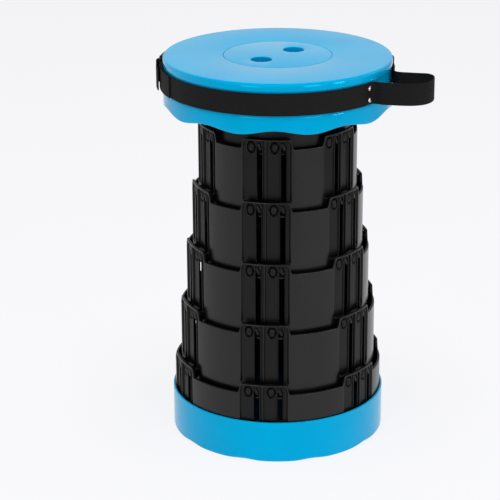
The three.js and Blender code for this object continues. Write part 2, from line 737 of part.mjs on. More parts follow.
function makeStrap() {
  const shape = new THREE.Shape(bandOutline(strapRoute(), STRAP_THICKNESS));
  const geometry = new THREE.ExtrudeGeometry(shape, { depth: STRAP_WIDTH, bevelEnabled: false });
  geometry.translate(0, 0, strapBottom);
  const riseCentre = onLoop(LOOP_RISE_SHARES);
  const position = geometry.attributes.position;
  for (let i = 0; i < position.count; i += 1) {
    const away = riseCentre.distanceTo(new THREE.Vector2(position.getX(i), position.getY(i)));
    const share = Math.max(0, 1 - (away / LOOP_RISE_RADIUS) ** 2);
    position.setZ(i, position.getZ(i) + LOOP_RISE * share ** 2);
  }
  let strap = solid(geometry);
  for (const place of rivetPlaces) {
    const outer = seatRadius + strapLift + STRAP_THICKNESS + CUT_OVERRUN;
    strap = strap.subtract(rivetBar(rivetHoleRadius, skirtInner, outer, place));
  }
  addPiece("carry_strap", strap, webbing);
}

// Flat frame with three upright bars, between rails above and below the webbing
function makeBuckle() {
  const halfLength = BUCKLE_BAR_PITCH + BUCKLE_BAR / 2;
  const halfHeight = BUCKLE_HEIGHT / 2;
  const inset = BUCKLE_CORNER / 2;
  const frame = [
    [-halfLength, inset - halfHeight],
    [inset - halfLength, -halfHeight],
    [halfLength - inset, -halfHeight],
    [halfLength, inset - halfHeight],
    [halfLength, halfHeight - inset],
    [halfLength - inset, halfHeight],
    [inset - halfLength, halfHeight],
    [-halfLength, halfHeight - inset],
  ].map(([across, height]) => [across, height + strapMiddle]);
  const inner = seatRadius + buckleLift;
  let buckle = facing(frame, inner, inner + BUCKLE_THICKNESS, BUCKLE_ANGLE);
  const slotEnd = STRAP_WIDTH / 2 + BUCKLE_RAIL_GAP;
  const slots = [
    [BUCKLE_BAR / 2, BUCKLE_BAR_PITCH - BUCKLE_BAR / 2],
    [BUCKLE_BAR / 2 - BUCKLE_BAR_PITCH, -BUCKLE_BAR / 2],
  ];
  for (const [left, right] of slots) {
    const hole = rectangle(left, right, strapMiddle - slotEnd, strapMiddle + slotEnd);
    const cutter = facing(hole, inner - CUT_OVERRUN, inner + BUCKLE_THICKNESS + CUT_OVERRUN, BUCKLE_ANGLE);
    buckle = buckle.subtract(cutter);
  }
  addPiece("strap_buckle", buckle, bucklePlastic);
}

makeTiers();
makeBase();
makeSeat();
makeCentrePlate();
makeScrews();
makeStrap();
makeBuckle();
makeRivets();

export default stool;
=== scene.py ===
import json
import math

import bmesh
import bpy
import numpy as np
from mathutils import Matrix, Vector

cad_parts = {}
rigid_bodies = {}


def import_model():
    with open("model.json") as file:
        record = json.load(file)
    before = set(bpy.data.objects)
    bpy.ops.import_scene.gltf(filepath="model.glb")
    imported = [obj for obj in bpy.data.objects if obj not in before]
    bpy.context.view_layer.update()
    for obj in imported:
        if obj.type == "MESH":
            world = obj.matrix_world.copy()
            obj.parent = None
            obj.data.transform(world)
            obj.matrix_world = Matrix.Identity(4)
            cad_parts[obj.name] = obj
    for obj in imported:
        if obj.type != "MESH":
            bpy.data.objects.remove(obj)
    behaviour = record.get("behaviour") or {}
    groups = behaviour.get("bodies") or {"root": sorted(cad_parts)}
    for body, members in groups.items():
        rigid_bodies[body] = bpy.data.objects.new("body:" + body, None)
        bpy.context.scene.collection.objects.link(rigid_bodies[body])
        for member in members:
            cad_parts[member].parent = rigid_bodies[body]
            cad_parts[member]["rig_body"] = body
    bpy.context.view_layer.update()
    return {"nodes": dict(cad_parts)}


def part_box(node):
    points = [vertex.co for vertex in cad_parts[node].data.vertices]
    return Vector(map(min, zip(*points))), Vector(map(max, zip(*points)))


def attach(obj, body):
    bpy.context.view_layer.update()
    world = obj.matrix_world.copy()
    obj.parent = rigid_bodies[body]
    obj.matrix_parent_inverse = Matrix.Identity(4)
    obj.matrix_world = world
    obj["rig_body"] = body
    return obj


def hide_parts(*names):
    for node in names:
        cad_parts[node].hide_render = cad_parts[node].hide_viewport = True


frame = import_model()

scene = bpy.context.scene

# Camera
# The photographer stood about two metres in front of the stool and a metre up, with a long lens, and the
# picture was cropped a little to the left of the lens's axis.
CAMERA_PLACE = (0, -2.1456, 0.9908)
CAMERA_PITCH = 19.9
SENSOR_WIDTH = 36
LENS_LENGTH = 139.9
PHOTO_WIDTH = 500
LENS_AXIS_PIXEL = 277.65

camera_data = bpy.data.cameras.new("photo_camera")
camera_data.sensor_width = SENSOR_WIDTH
camera_data.lens = LENS_LENGTH
camera_data.shift_x = (PHOTO_WIDTH / 2 - LENS_AXIS_PIXEL) / PHOTO_WIDTH
camera = bpy.data.objects.new("photo_camera", camera_data)
camera.location = CAMERA_PLACE
camera.rotation_euler = (math.radians(90 - CAMERA_PITCH), 0, 0)
scene.collection.objects.link(camera)
scene.camera = camera

# Base shell
# A shallow cup, injection-moulded in one shot from gloss blue polypropylene and matt inside, where its blue
# is painted darker as shade. Its lower edge rises in ten low arches between its feet, and six screws from
# below hold the largest tier down in it.
MM = 0.001
ROUND_SEGMENTS = 240
WELD = 0.0001
SHARP_ANGLE = 50
BASE_WALL = 2.8
BASE_FLOOR = 3.5
BASE_RIM_ROUND = 1
BASE_FOOT_ROUND = 0.8
ARCH_COUNT = 10
ARCH_HEIGHT = 1.6
ARCH_SHARPNESS = 3
ARCH_DEPTH = 6
ARCH_TOP = 2.4
SCREW_COUNT = 6
SCREW_HOLE_RADIUS = 1.9
COUNTERBORE_RADIUS = 3.2
COUNTERBORE_DEPTH = 2
BORE_SEGMENTS = 32
CUT_OVERRUN = 1
BLUE = "#00a6d9"
DEEP_BLUE = "#00a0d2"
BLUE_GLANCE = "#30e8ff"
# Painted shade: the darker blue inside the base, where little light falls
PAINTED_SHADE_BLUE = "#00344e"
MATT_AND_SHADE_FADE = 0.1
MATT_ROUGHNESS = 0.55
GLOSS_ROUGHNESS = (0.08, 0.2)
SPECULAR_LEVELS = (0.5, 0.2)
GLOSS_IOR = 1.5
FLOW_SIZE = 90
FLOW_RANGE = (0.35, 0.65)
SCRATCH_SIZE = 1.6
SCRATCH_STRETCH = 30
SCRATCH_RANGE = (0.6, 0.75)
FINE_DETAIL = 3
RIPPLE_SIZE = 14
RIPPLE_RELIEF = (0.3, 0.05)


def linear(colour):
    """Linear red, green, blue and alpha of an sRGB hex colour."""
    shares = [int(colour[i:i + 2], 16) / 255 for i in (1, 3, 5)]
    return (*[c / 12.92 if c <= 0.04045 else ((c + 0.055) / 1.055) ** 2.4 for c in shares], 1)


def add_node(tree, kind, inputs=None, **settings):
    """A new node with its settings. Each input is a value, a hex colour or another node's socket."""
    node = tree.nodes.new(f"ShaderNode{kind}")
    for name, value in settings.items():
        setattr(node, name, value)
    for name, value in (inputs or {}).items():
        if isinstance(value, bpy.types.NodeSocket):
            tree.links.new(value, node.inputs[name])
        else:
            node.inputs[name].default_value = linear(value) if isinstance(value, str) else value
    return node


def new_material(name):
    """A material with an empty tree but for its output, and the object's own coordinates in metres."""
    material = bpy.data.materials.new(name)
    material.use_nodes = True
    tree = material.node_tree
    tree.nodes.clear()
    output = add_node(tree, "OutputMaterial")
    place = add_node(tree, "TexCoord").outputs["Object"]
    return material, tree, output.inputs["Surface"], place


def noise(tree, place, size, detail=2, stretch=(1, 1, 1)):
    """Noise whose blots are about size millimetres across, drawn out along an axis by stretch."""
    scaled = add_node(tree, "Mapping", {"Vector": place, "Scale": [1 / s for s in stretch]})
    texture = {"Vector": scaled.outputs[0], "Scale": 1 / (size * MM), "Detail": detail}
    return add_node(tree, "TexNoise", texture).outputs[0]


def ranged(tree, value, low, high, to_low, to_high):
    """A value moved from one range to another."""
    ends = {0: value, 1: low, 2: high, 3: to_low, 4: to_high}
    return add_node(tree, "MapRange", ends).outputs[0]


def tinted(tree, share, colour, other):
    """Two colours mixed by a share."""
    return add_node(tree, "Mix", {0: share, 6: colour, 7: other}, data_type="RGBA").outputs[2]


def calculated(tree, operation, *values):
    """The result of a calculation with one to three values."""
    return add_node(tree, "Math", dict(enumerate(values)), operation=operation).outputs[0]


def bumped(tree, height, relief, below=None):
    """A bump from a height, on top of another bump. relief is its strength and its depth in millimetres."""
    inputs = {"Height": height, "Strength": relief[0], "Distance": relief[1] * MM}
    if below is not None:
        inputs["Normal"] = below
    return add_node(tree, "Bump", inputs).outputs[0]


def shaded(material, tree, surface, shader):
    """A material with the shader's inputs filled in."""
    tree.links.new(add_node(tree, "BsdfPrincipled", shader).outputs[0], surface)
    return material


def moulded_gloss_polypropylene(name, matt_and_shade_within=0):
    """Polypropylene from a polished steel mould: a clear gloss with a faint ripple, flow tint and hairline
    scratches. Nearer to the upright axis than the given millimetres it is matt, and its blue is painted
    darker there as shade."""
    material, tree, surface, place = new_material(name)
    flat = add_node(tree, "VectorMath", {0: place, 1: (1, 1, 0)}, operation="MULTIPLY").outputs[0]
    distance = add_node(tree, "VectorMath", {0: flat}, operation="LENGTH").outputs["Value"]
    matt_and_shade = ranged(tree, distance, matt_and_shade_within * MM, (matt_and_shade_within - MATT_AND_SHADE_FADE) * MM, 0, 1)
    flow = ranged(tree, noise(tree, place, FLOW_SIZE), *FLOW_RANGE, 0, 1)
    ways = ((SCRATCH_STRETCH, 1, 1), (1, SCRATCH_STRETCH, 1))
    scratches = [noise(tree, place, SCRATCH_SIZE, FINE_DETAIL, way) for way in ways]
    gloss = ranged(tree, calculated(tree, "MAXIMUM", *scratches), *SCRATCH_RANGE, *GLOSS_ROUGHNESS)
    shader = {
        # The darker blue inside the base is painted shade
        "Base Color": tinted(tree, matt_and_shade, tinted(tree, flow, BLUE, DEEP_BLUE), PAINTED_SHADE_BLUE),
        "Roughness": ranged(tree, matt_and_shade, 0, 1, gloss, MATT_ROUGHNESS),
        "Specular IOR Level": ranged(tree, matt_and_shade, 0, 1, *SPECULAR_LEVELS),
        "Normal": bumped(tree, noise(tree, place, RIPPLE_SIZE), RIPPLE_RELIEF),
        "IOR": GLOSS_IOR,
        "Specular Tint": BLUE_GLANCE,
    }
    return shaded(material, tree, surface, shader)


def arc(centre, height, size, start, end, steps=6):
    """Points of a round edge, from one direction to another in degrees from the outward one."""
    angles = [math.radians(start + (end - start) * i / steps) for i in range(steps + 1)]
    return [(centre + size * math.cos(a), height + size * math.sin(a)) for a in angles]


def bridge(mesh, here, there):
    """Faces between two rings of points."""
    for i in range(len(here)):
        j = (i + 1) % len(here)
        mesh.faces.new((here[i], here[j], there[j], there[i]))


def revolved(profile, segments=ROUND_SEGMENTS, shape=None):
    """A closed profile of (radius, height) pairs turned about the upright axis. shape may lift its points."""
    mesh = bmesh.new()
    rings = []
    for step in range(segments):
        angle = 2 * math.pi * step / segments
        x, y = math.sin(angle), -math.cos(angle)
        points = [(r * x, r * y, h + (shape(r, angle, h) if shape else 0)) for r, h in profile]
        rings.append([mesh.verts.new(point) for point in points])
    for here, there in zip(rings, rings[1:] + rings[:1]):
        bridge(mesh, here, there)
    bmesh.ops.remove_doubles(mesh, verts=mesh.verts, dist=WELD)
    bmesh.ops.dissolve_degenerate(mesh, edges=mesh.edges, dist=WELD)
    bmesh.ops.recalc_face_normals(mesh, faces=mesh.faces)
    return mesh


def merged(mesh, parts):
    """A mesh with the faces of other meshes added."""
    for part in parts:
        data = bpy.data.meshes.new("part")
        part.to_mesh(data)
        mesh.from_mesh(data)
        part.free()
        bpy.data.meshes.remove(data)
    return mesh


def combined(mesh, tools, operation):
    """A mesh cut by, or joined with, closed meshes by an exact boolean."""
    objects = []
    for part in (mesh, merged(bmesh.new(), tools)):
        data = bpy.data.meshes.new("part")
        part.to_mesh(data)
        part.free()
        objects.append(bpy.data.objects.new("part", data))
        scene.collection.objects.link(objects[-1])
    modifier = objects[0].modifiers.new("boolean", "BOOLEAN")
    modifier.operation = operation
    modifier.solver = "EXACT"
    modifier.object = objects[1]
    evaluated = objects[0].evaluated_get(bpy.context.evaluated_depsgraph_get())
    result = bmesh.new()
    result.from_mesh(evaluated.to_mesh())
    for used in objects:
        data = used.data
        bpy.data.objects.remove(used)
        bpy.data.meshes.remove(data)
    return result


def middle_of(node):
    """The middle of a node of the frame, in millimetres."""
    low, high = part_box(node)
    return (low + high) / 2 / MM


def at_screws(screws, profile):
    """A profile turned about the axis of each screw of a kind."""
    parts = []
    for i in range(SCREW_COUNT):
        place = middle_of(f"{screws}_{i + 1}")
        parts.append(revolved(profile, BORE_SEGMENTS))
        parts[-1].transform(Matrix.Translation((place.x, place.y, 0)))
    return parts


def new_piece(name, mesh, material, node):
    """Makes a mesh in millimetres into a piece that stands for a node of the frame and rides on its body."""
    mesh.transform(Matrix.Scale(MM, 4))
    data = bpy.data.meshes.new(name)
    mesh.to_mesh(data)
    mesh.free()
    data.shade_smooth()
    data.set_sharp_from_angle(angle=math.radians(SHARP_ANGLE))
    data.materials.append(material)
    piece = bpy.data.objects.new(name, data)
    scene.collection.objects.link(piece)
    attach(piece, frame["nodes"][node]["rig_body"])
    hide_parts(node)


base_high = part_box("base_shell")[1] / MM
base_radius = base_high.x
base_inner = base_radius - BASE_WALL
rim_centre = base_high.z - BASE_RIM_ROUND


def arch_lift(radius, angle, height):
    """How far the lower edge of the base is lifted between its feet."""
    if height > 2 * BASE_FOOT_ROUND:
        return 0
    outwards = min(1, max(0, (radius - base_radius + ARCH_DEPTH) / (ARCH_DEPTH / 2)))
    return outwards * ARCH_HEIGHT * (0.5 - math.cos(ARCH_COUNT * angle) / 2) ** ARCH_SHARPNESS


base = revolved(
    [
        (0, 0),
        (base_radius - ARCH_DEPTH, 0),
        (base_radius - ARCH_DEPTH / 2, 0),
        *arc(base_radius - BASE_FOOT_ROUND, BASE_FOOT_ROUND, BASE_FOOT_ROUND, -90, 0),
        (base_radius, ARCH_TOP),
        *arc(base_radius - BASE_RIM_ROUND, rim_centre, BASE_RIM_ROUND, 0, 90),
        *arc(base_inner + BASE_RIM_ROUND, rim_centre, BASE_RIM_ROUND, 90, 180),
        (base_inner, BASE_FLOOR + BASE_RIM_ROUND),
        (base_inner - BASE_RIM_ROUND, BASE_FLOOR),
        (0, BASE_FLOOR),
    ],
    shape=arch_lift,
)
screw_cuts = at_screws(
    "base_screw",
    [
        (0, -CUT_OVERRUN),
        (COUNTERBORE_RADIUS, -CUT_OVERRUN),
        (COUNTERBORE_RADIUS, COUNTERBORE_DEPTH),
        (SCREW_HOLE_RADIUS, COUNTERBORE_DEPTH),
        (SCREW_HOLE_RADIUS, BASE_FLOOR + CUT_OVERRUN),
        (0, BASE_FLOOR + CUT_OVERRUN),
    ],
)
base_blue = moulded_gloss_polypropylene(
    "moulded_gloss_polypropylene_matt_and_shaded_inside", base_inner + BASE_RIM_ROUND / 2
)
new_piece("moulded_base", combined(base, screw_cuts, "DIFFERENCE"), base_blue, "base_shell")

# Tiers 2 to 6
# Five rings moulded from black glass-filled polypropylene, each with six slot panels between smooth ones. The
# lugs on a ring's foot run in the next ring's slots, and a twist hooks them in the slot tops when drawn out.
TIER_COUNT = 6
TOP_TIER_RADIUS = 83.9
TIER_WALL = 3
TIER_SPACE = 4.6
PANEL_COUNT = 6
FIRST_PANEL_ANGLE = -7.7
TAB_WIDTH = 52
TAB_SLOPE = 4.8
TAB_RISE = 11.5
TIER_RIM_ROUND = 1.2
SLOT_OFFSETS = (-8.2, 19.2)
SLOT_WIDTH = 6.2
SLOT_TOP = 4.2
SLOT_FOOT = 5
SLOT_EDGE_ROUND = 0.35
LIP_WIDTH = 1.1
LIP_HEIGHT = 1.3
LIP_RAMP = 0.4
RECESS_LEFT = -27.6
RECESS_RIGHT = 27.4
RECESS_TOP = 2.6
RECESS_DEPTH = 2.4
RECESS_CORNER = 4.5
RECESS_RAMP = 1.8
RECESS_BACK = 1.9
RECESS_BACK_RAMP = 1.2
PARTING_MIDDLE = -0.6
PARTING_WIDTH = 1.5
PARTING_RAMP = 0.7
TRACK_HALF_WIDTH = 5.2
RIBBED_TOP = 17.5
RIBBED_MARGIN = 2.2
RIB_PITCH = 2.3
RIB_HEIGHT = 0.3
BOSS_OFFSET = -10.4
BOSS_DROP = 10
BOSS_RADIUS = 4.4
BOSS_STRETCH = 1.35
BOSS_HALF_WIDTH = 1.25
BOSS_DEPTH = 1.9
BOSS_CROWN = 0.8
BOSS_CROWN_REACH = 1.3
WALL_RAMP = 0.6
SKIN = 0.25
EDGE_LOOP = 0.1
LUG_WIDTH = 3.4
LUG_ENDS = ((-1.55, 6.2), (0.85, 11.6))
LUG_ROUND = 0.6
LUG_ARC_STEPS = 8
LUG_GAP = 1.4
RIB_WIDTH = 1.3
PAD_HEIGHT = 16
PAD_ROUND = 0.4
ROUND_STEPS = 3
ROUND_MIDDLE = 0.3
GUSSET_WIDTH = 8
GUSSET_BOTTOM = 0.3
GUSSET_TOP = 6
OVERLAP = 19.7
FIT_GAP = 0.3
FUSE_DEPTH = 0.5
EDGE_STEP = 0.3
LIP_STEP = 0.5625
BOSS_STEP = 0.6
FINE_STEP = 0.75
COARSE_STEP = 3.4
ROW_STEP = 9
RIB_START = 3
BLACK = "#050505"
GREY_BLACK = "#0a0a0b"
NOISE_RANGE = (0.3, 0.7)
BLACK_FLOW_SIZE = 40
BLACK_FLOW_STRETCH = (1, 1, 3)
GRAIN_SIZE = 0.9
GRAIN_RELIEF = (0.25, 0.04)
SWELL_SIZE = 9
SWELL_STRETCH = (1, 1, 2)
SWELL_RELIEF = (0.3, 0.1)
ERODED_ROUGHNESS = (0.32, 0.4)
POLISH_ROUGHNESS = -0.1
BLACK_SPECULAR = (0.06, 0.43)
BLACK_IOR = 1.46


def moulded_black_polypropylene(name):
    """Glass-filled polypropylene. The mould's outer walls are polished, and its recesses and backs keep a
    spark-eroded texture, which takes off the shine. The real grain is about 0.1 mm, and is drawn at 0.9 mm so
    that it shows."""
    material, tree, surface, place = new_material(name)
    polish = add_node(tree, "Attribute", attribute_name="polish").outputs["Fac"]
    flow = noise(tree, place, BLACK_FLOW_SIZE, FINE_DETAIL, BLACK_FLOW_STRETCH)
    eroded = ranged(tree, flow, *NOISE_RANGE, *ERODED_ROUGHNESS)
    grain = bumped(tree, noise(tree, place, GRAIN_SIZE), GRAIN_RELIEF)
    swell = noise(tree, place, SWELL_SIZE, stretch=SWELL_STRETCH)
    shader = {
        "Base Color": tinted(tree, ranged(tree, flow, *NOISE_RANGE, 0, 1), BLACK, GREY_BLACK),
        "Roughness": calculated(tree, "MULTIPLY_ADD", polish, POLISH_ROUGHNESS, eroded),
        "Specular IOR Level": ranged(tree, polish, -1, 1, *BLACK_SPECULAR),
        "Normal": bumped(tree, swell, SWELL_RELIEF, grain),
        "IOR": BLACK_IOR,
    }
    return shaded(material, tree, surface, shader)


def filled(origin, stretches):
    """Places along a line from its origin on, by stretches of (end, longest step), each divided evenly."""
    places = [origin]
    for end, step in stretches:
        start = places[-1]
        count = max(1, math.ceil((end - start) / step - WELD))
        places += [start + (end - start) * i / count for i in range(1, count + 1)]
    return places


def ramp(share):
    """Rises smoothly from 0 to 1 as the share does."""
    held = np.clip(share, 0, 1)
    return held * held * (3 - 2 * held)


def inside_rectangle(across, down, left, right, top, bottom, corner):
    """How far points lie inside a rectangle with round corners; less than 0 outside it."""
    beyond_side = np.abs(across - (left + right) / 2) - (right - left) / 2 + corner
    beyond_end = np.abs(down - (top + bottom) / 2) - (bottom - top) / 2 + corner
    outside = np.hypot(np.maximum(beyond_side, 0), np.maximum(beyond_end, 0))
    return corner - outside - np.minimum(np.maximum(beyond_side, beyond_end), 0)


def tier_relief(across, down, height):
    """Depth of a tier's face and of its back below its outer radius, by the arc from a panel's middle and the
    drop from its top. A low wall parts each recess, and each part has a lipped slot and an oval boss."""
    foot = height - PAD_HEIGHT
    inside = inside_rectangle(across, down, RECESS_LEFT, RECESS_RIGHT, RECESS_TOP, foot, RECESS_CORNER)
    parting = ramp((PARTING_WIDTH / 2 - np.abs(across - PARTING_MIDDLE)) / PARTING_RAMP + 0.5)
    depth = RECESS_DEPTH * ramp(inside / RECESS_RAMP + 0.5) * (1 - parting)
    back = np.full(depth.shape, float(TIER_WALL))
    for offset, left in zip(SLOT_OFFSETS, (RECESS_LEFT, PARTING_MIDDLE)):
        track = offset - TRACK_HALF_WIDTH
        behind = inside_rectangle(across, down, left, track, RECESS_TOP, foot, RECESS_CORNER)
        back += RECESS_BACK * ramp(behind / RECESS_BACK_RAMP)
        if left == PARTING_MIDDLE:
            first = left + RIBBED_MARGIN
            ribbed = inside_rectangle(across, down, first, track, RIBBED_TOP, foot, RIBBED_MARGIN)
            waves = 0.5 + 0.5 * np.cos(2 * math.pi * (across - left) / RIB_PITCH)
            depth -= RIB_HEIGHT * waves * ramp(ribbed / WALL_RAMP)
        off_boss = np.hypot(across - offset - BOSS_OFFSET, (down - BOSS_DROP) / BOSS_STRETCH)
        depth += BOSS_DEPTH * ramp(1 - np.abs(off_boss - BOSS_RADIUS) / BOSS_HALF_WIDTH)
        depth -= BOSS_CROWN * ramp(BOSS_CROWN_REACH * (1 - off_boss / (BOSS_RADIUS - BOSS_HALF_WIDTH)))
        half = SLOT_WIDTH / 2 + SLOT_EDGE_ROUND
        top_edge, foot_edge = SLOT_TOP - SLOT_EDGE_ROUND, height - SLOT_FOOT + SLOT_EDGE_ROUND
        reach, above, below = half + LIP_WIDTH, top_edge - LIP_WIDTH, foot_edge + LIP_WIDTH
        raised = inside_rectangle(across, down, offset - reach, offset + reach, above, below, LIP_WIDTH)
        depth -= LIP_HEIGHT * ramp(raised / LIP_RAMP)
        sides = (offset - half, offset + half, top_edge, foot_edge)
        fall = np.clip(inside_rectangle(across, down, *sides, SLOT_EDGE_ROUND) / SLOT_EDGE_ROUND, 0, 1)
        depth += SLOT_EDGE_ROUND * (1 - np.sqrt(1 - fall * fall))
    below_rim = np.clip(1 - down / TIER_RIM_ROUND, 0, 1)
    depth = np.maximum(depth, TIER_RIM_ROUND * (1 - np.sqrt(1 - below_rim * below_rim)))
    back -= TIER_RIM_ROUND / 2 * below_rim
    return np.minimum(depth, back - SKIN), back


def slab(grids, polish, back_polish, solid_at):
    """A closed ring of cells between the first and the last of several grids of points, without the cells
    that are cut out. The grids between them keep the edges crisp. polish is the share of mould polish on the
    face, and back_polish that of each row of the back, less than 0 where the mould is coarse."""
    mesh = bmesh.new()
    polished = mesh.verts.layers.float.new("polish")
    columns, rows = len(grids[0]), len(grids[0][0]) - 1
    cells = {(i, j) for i in range(columns) for j in range(rows) if solid_at(i, j)}
    last = len(grids) - 1
    corners = {}

    def corner(i, j, layer):
        key = (i % columns, j, layer)
        if key not in corners:
            corners[key] = mesh.verts.new(grids[layer][key[0]][j])
            shares = {0: polish[i % len(polish)][j], last: back_polish[j]}
            corners[key][polished] = shares.get(layer, 0)
        return corners[key]

    for i, j in sorted(cells):
        quad = [(i, j), (i + 1, j), (i + 1, j + 1), (i, j + 1)]
        mesh.faces.new([corner(*spot, 0) for spot in quad])
        mesh.faces.new([corner(*spot, last) for spot in reversed(quad)])
        for k, (aside, down) in enumerate([(0, -1), (1, 0), (0, 1), (-1, 0)]):
            if ((i + aside) % columns, j + down) not in cells:
                here, there = quad[k], quad[(k + 1) % 4]
                for layer in range(last):
                    near = [corner(*there, layer), corner(*here, layer)]
                    mesh.faces.new(near + [corner(*here, layer + 1), corner(*there, layer + 1)])
    bmesh.ops.recalc_face_normals(mesh, faces=mesh.faces)
    return mesh


def rounded(mesh, edges, size):
    """Rounds off edges of a mesh."""
    bmesh.ops.bevel(mesh, geom=edges, offset=size, segments=ROUND_STEPS, profile=0.5, affect="EDGES")


def block(width, depth, height, round_off, distance, middle_height, angle):
    """A box with rounded edges on the outside of a ring, facing outwards at an angle in radians."""
    mesh = bmesh.new()
    bmesh.ops.create_cube(mesh, size=1)
    mesh.transform(Matrix.Diagonal((width, depth, height, 1)))
    rounded(mesh, mesh.edges, round_off)
    mesh.transform(Matrix.Rotation(angle, 4, "Z") @ Matrix.Translation((0, -distance, middle_height)))
    return mesh


def lofted(rings, angle=0):
    """A solid through rings of points, closed at both ends and turned by an angle in radians."""
    mesh = bmesh.new()
    rings = [[mesh.verts.new(point) for point in ring] for ring in rings]
    mesh.faces.new(rings[0])
    mesh.faces.new(rings[-1][::-1])
    for here, there in zip(rings, rings[1:]):
        bridge(mesh, here, there)
    bmesh.ops.recalc_face_normals(mesh, faces=mesh.faces)
    mesh.transform(Matrix.Rotation(angle, 4, "Z"))
    return mesh


def standing(outline, inner, outer, round_off, angle):
    """An outline of (across, up) pairs made into a solid on a ring's outside, with its outer edge rounded."""
    middle = Vector((sum(x for x, z in outline), sum(z for x, z in outline))) / len(outline)
    rings = []
    bend = outer - round_off * ROUND_MIDDLE
    for distance, share in ((inner, 0), (outer - round_off, 0), (bend, ROUND_MIDDLE), (outer, 1)):
        pulled = [Vector(p) - (Vector(p) - middle).normalized() * round_off * share for p in outline]
        rings.append([(p.x, -distance, p.y) for p in pulled])
    return lofted(rings, angle)


def tier_radius(tier):
    """Outer radius of a tier, counted from the seat down."""
    return TOP_TIER_RADIUS + (tier - 1) * (TIER_WALL + TIER_SPACE)


def panel_angles():
    """The angle of each slot panel's middle, in radians from the front."""
    return [math.radians(FIRST_PANEL_ANGLE + 360 * i / PANEL_COUNT) for i in range(PANEL_COUNT)]


def lug_outline(top):
    """A lug seen from the front: a slanted bar with round ends, from its height above the tier's foot."""
    (x0, d0), (x1, d1) = LUG_ENDS
    lean = math.degrees(math.atan2(x1 - x0, d1 - d0))
    upper = arc(x0, top - d0, LUG_WIDTH / 2, lean, lean + 180, LUG_ARC_STEPS)
    return upper + arc(x1, top - d1, LUG_WIDTH / 2, lean + 180, lean + 360, LUG_ARC_STEPS)


def gusset(bottom, inner, outer, angle):
    """A ramp under a lug, which stiffens it and leads the tier into the next one."""
    profile = [(inner, bottom + GUSSET_BOTTOM), (outer, bottom + GUSSET_TOP - PAD_ROUND)]
    profile += [(outer - PAD_ROUND, bottom + GUSSET_TOP), (inner, bottom + GUSSET_TOP)]
    return lofted([[(x, -r, z) for r, z in profile] for x in (-GUSSET_WIDTH / 2, GUSSET_WIDTH / 2)], angle)


def foot_parts(tier, bottom):
    """The lugs on a tier's foot that run in the next tier's slots, each with a gusset and two guide ribs."""
    radius, following = tier_radius(tier), tier_radius(tier + 1)
    inner = radius - 2 * FUSE_DEPTH
    outer = math.sqrt((radius + TIER_SPACE - 2 * FIT_GAP) ** 2 - TRACK_HALF_WIDTH ** 2)
    lug_outer = following - 2 * FUSE_DEPTH - FIT_GAP
    parts = []
    for angle in panel_angles():
        for offset in SLOT_OFFSETS:
            turn = angle + offset / following
            parts.append(standing(lug_outline(bottom + OVERLAP), inner, lug_outer, LUG_ROUND, turn))
            parts.append(gusset(bottom, inner, outer, turn))
            rib_height = PAD_HEIGHT - GUSSET_TOP + 2 * PAD_ROUND
            rib_middle = bottom + PAD_HEIGHT - rib_height / 2
            rib = (RIB_WIDTH, outer - inner, rib_height, PAD_ROUND, (inner + outer) / 2, rib_middle)
            aside = (TRACK_HALF_WIDTH - RIB_WIDTH / 2) / following
            parts += [block(*rib, turn + side * aside) for side in (-1, 1)]
    return parts


def slot_corners(tier, top):
    """The slanted upper corner of each slot of a tier, which guides the lug when the stool is twisted."""
    radius = tier_radius(tier)
    (x0, d0), (x1, d1) = LUG_ENDS
    run = (x1 - x0) / (d1 - d0)
    aside = (LUG_WIDTH / 2 + LUG_GAP) * math.hypot(1, run)
    edge = SLOT_WIDTH / 2 + EDGE_LOOP
    upper, lower = x0 + aside + run * (SLOT_TOP - d0), d0 + (edge - x0 - aside) / run
    under_rim = top - SLOT_TOP + EDGE_LOOP
    outline = [(upper, under_rim), (edge, top - lower), (edge, under_rim)]
    back, face = radius - TIER_WALL + EDGE_LOOP, radius - RECESS_DEPTH + LIP_HEIGHT + EDGE_LOOP / 2
    turns = [angle + offset / radius for angle in panel_angles() for offset in SLOT_OFFSETS]
    return [standing(outline, back, face, EDGE_LOOP, turn) for turn in turns]


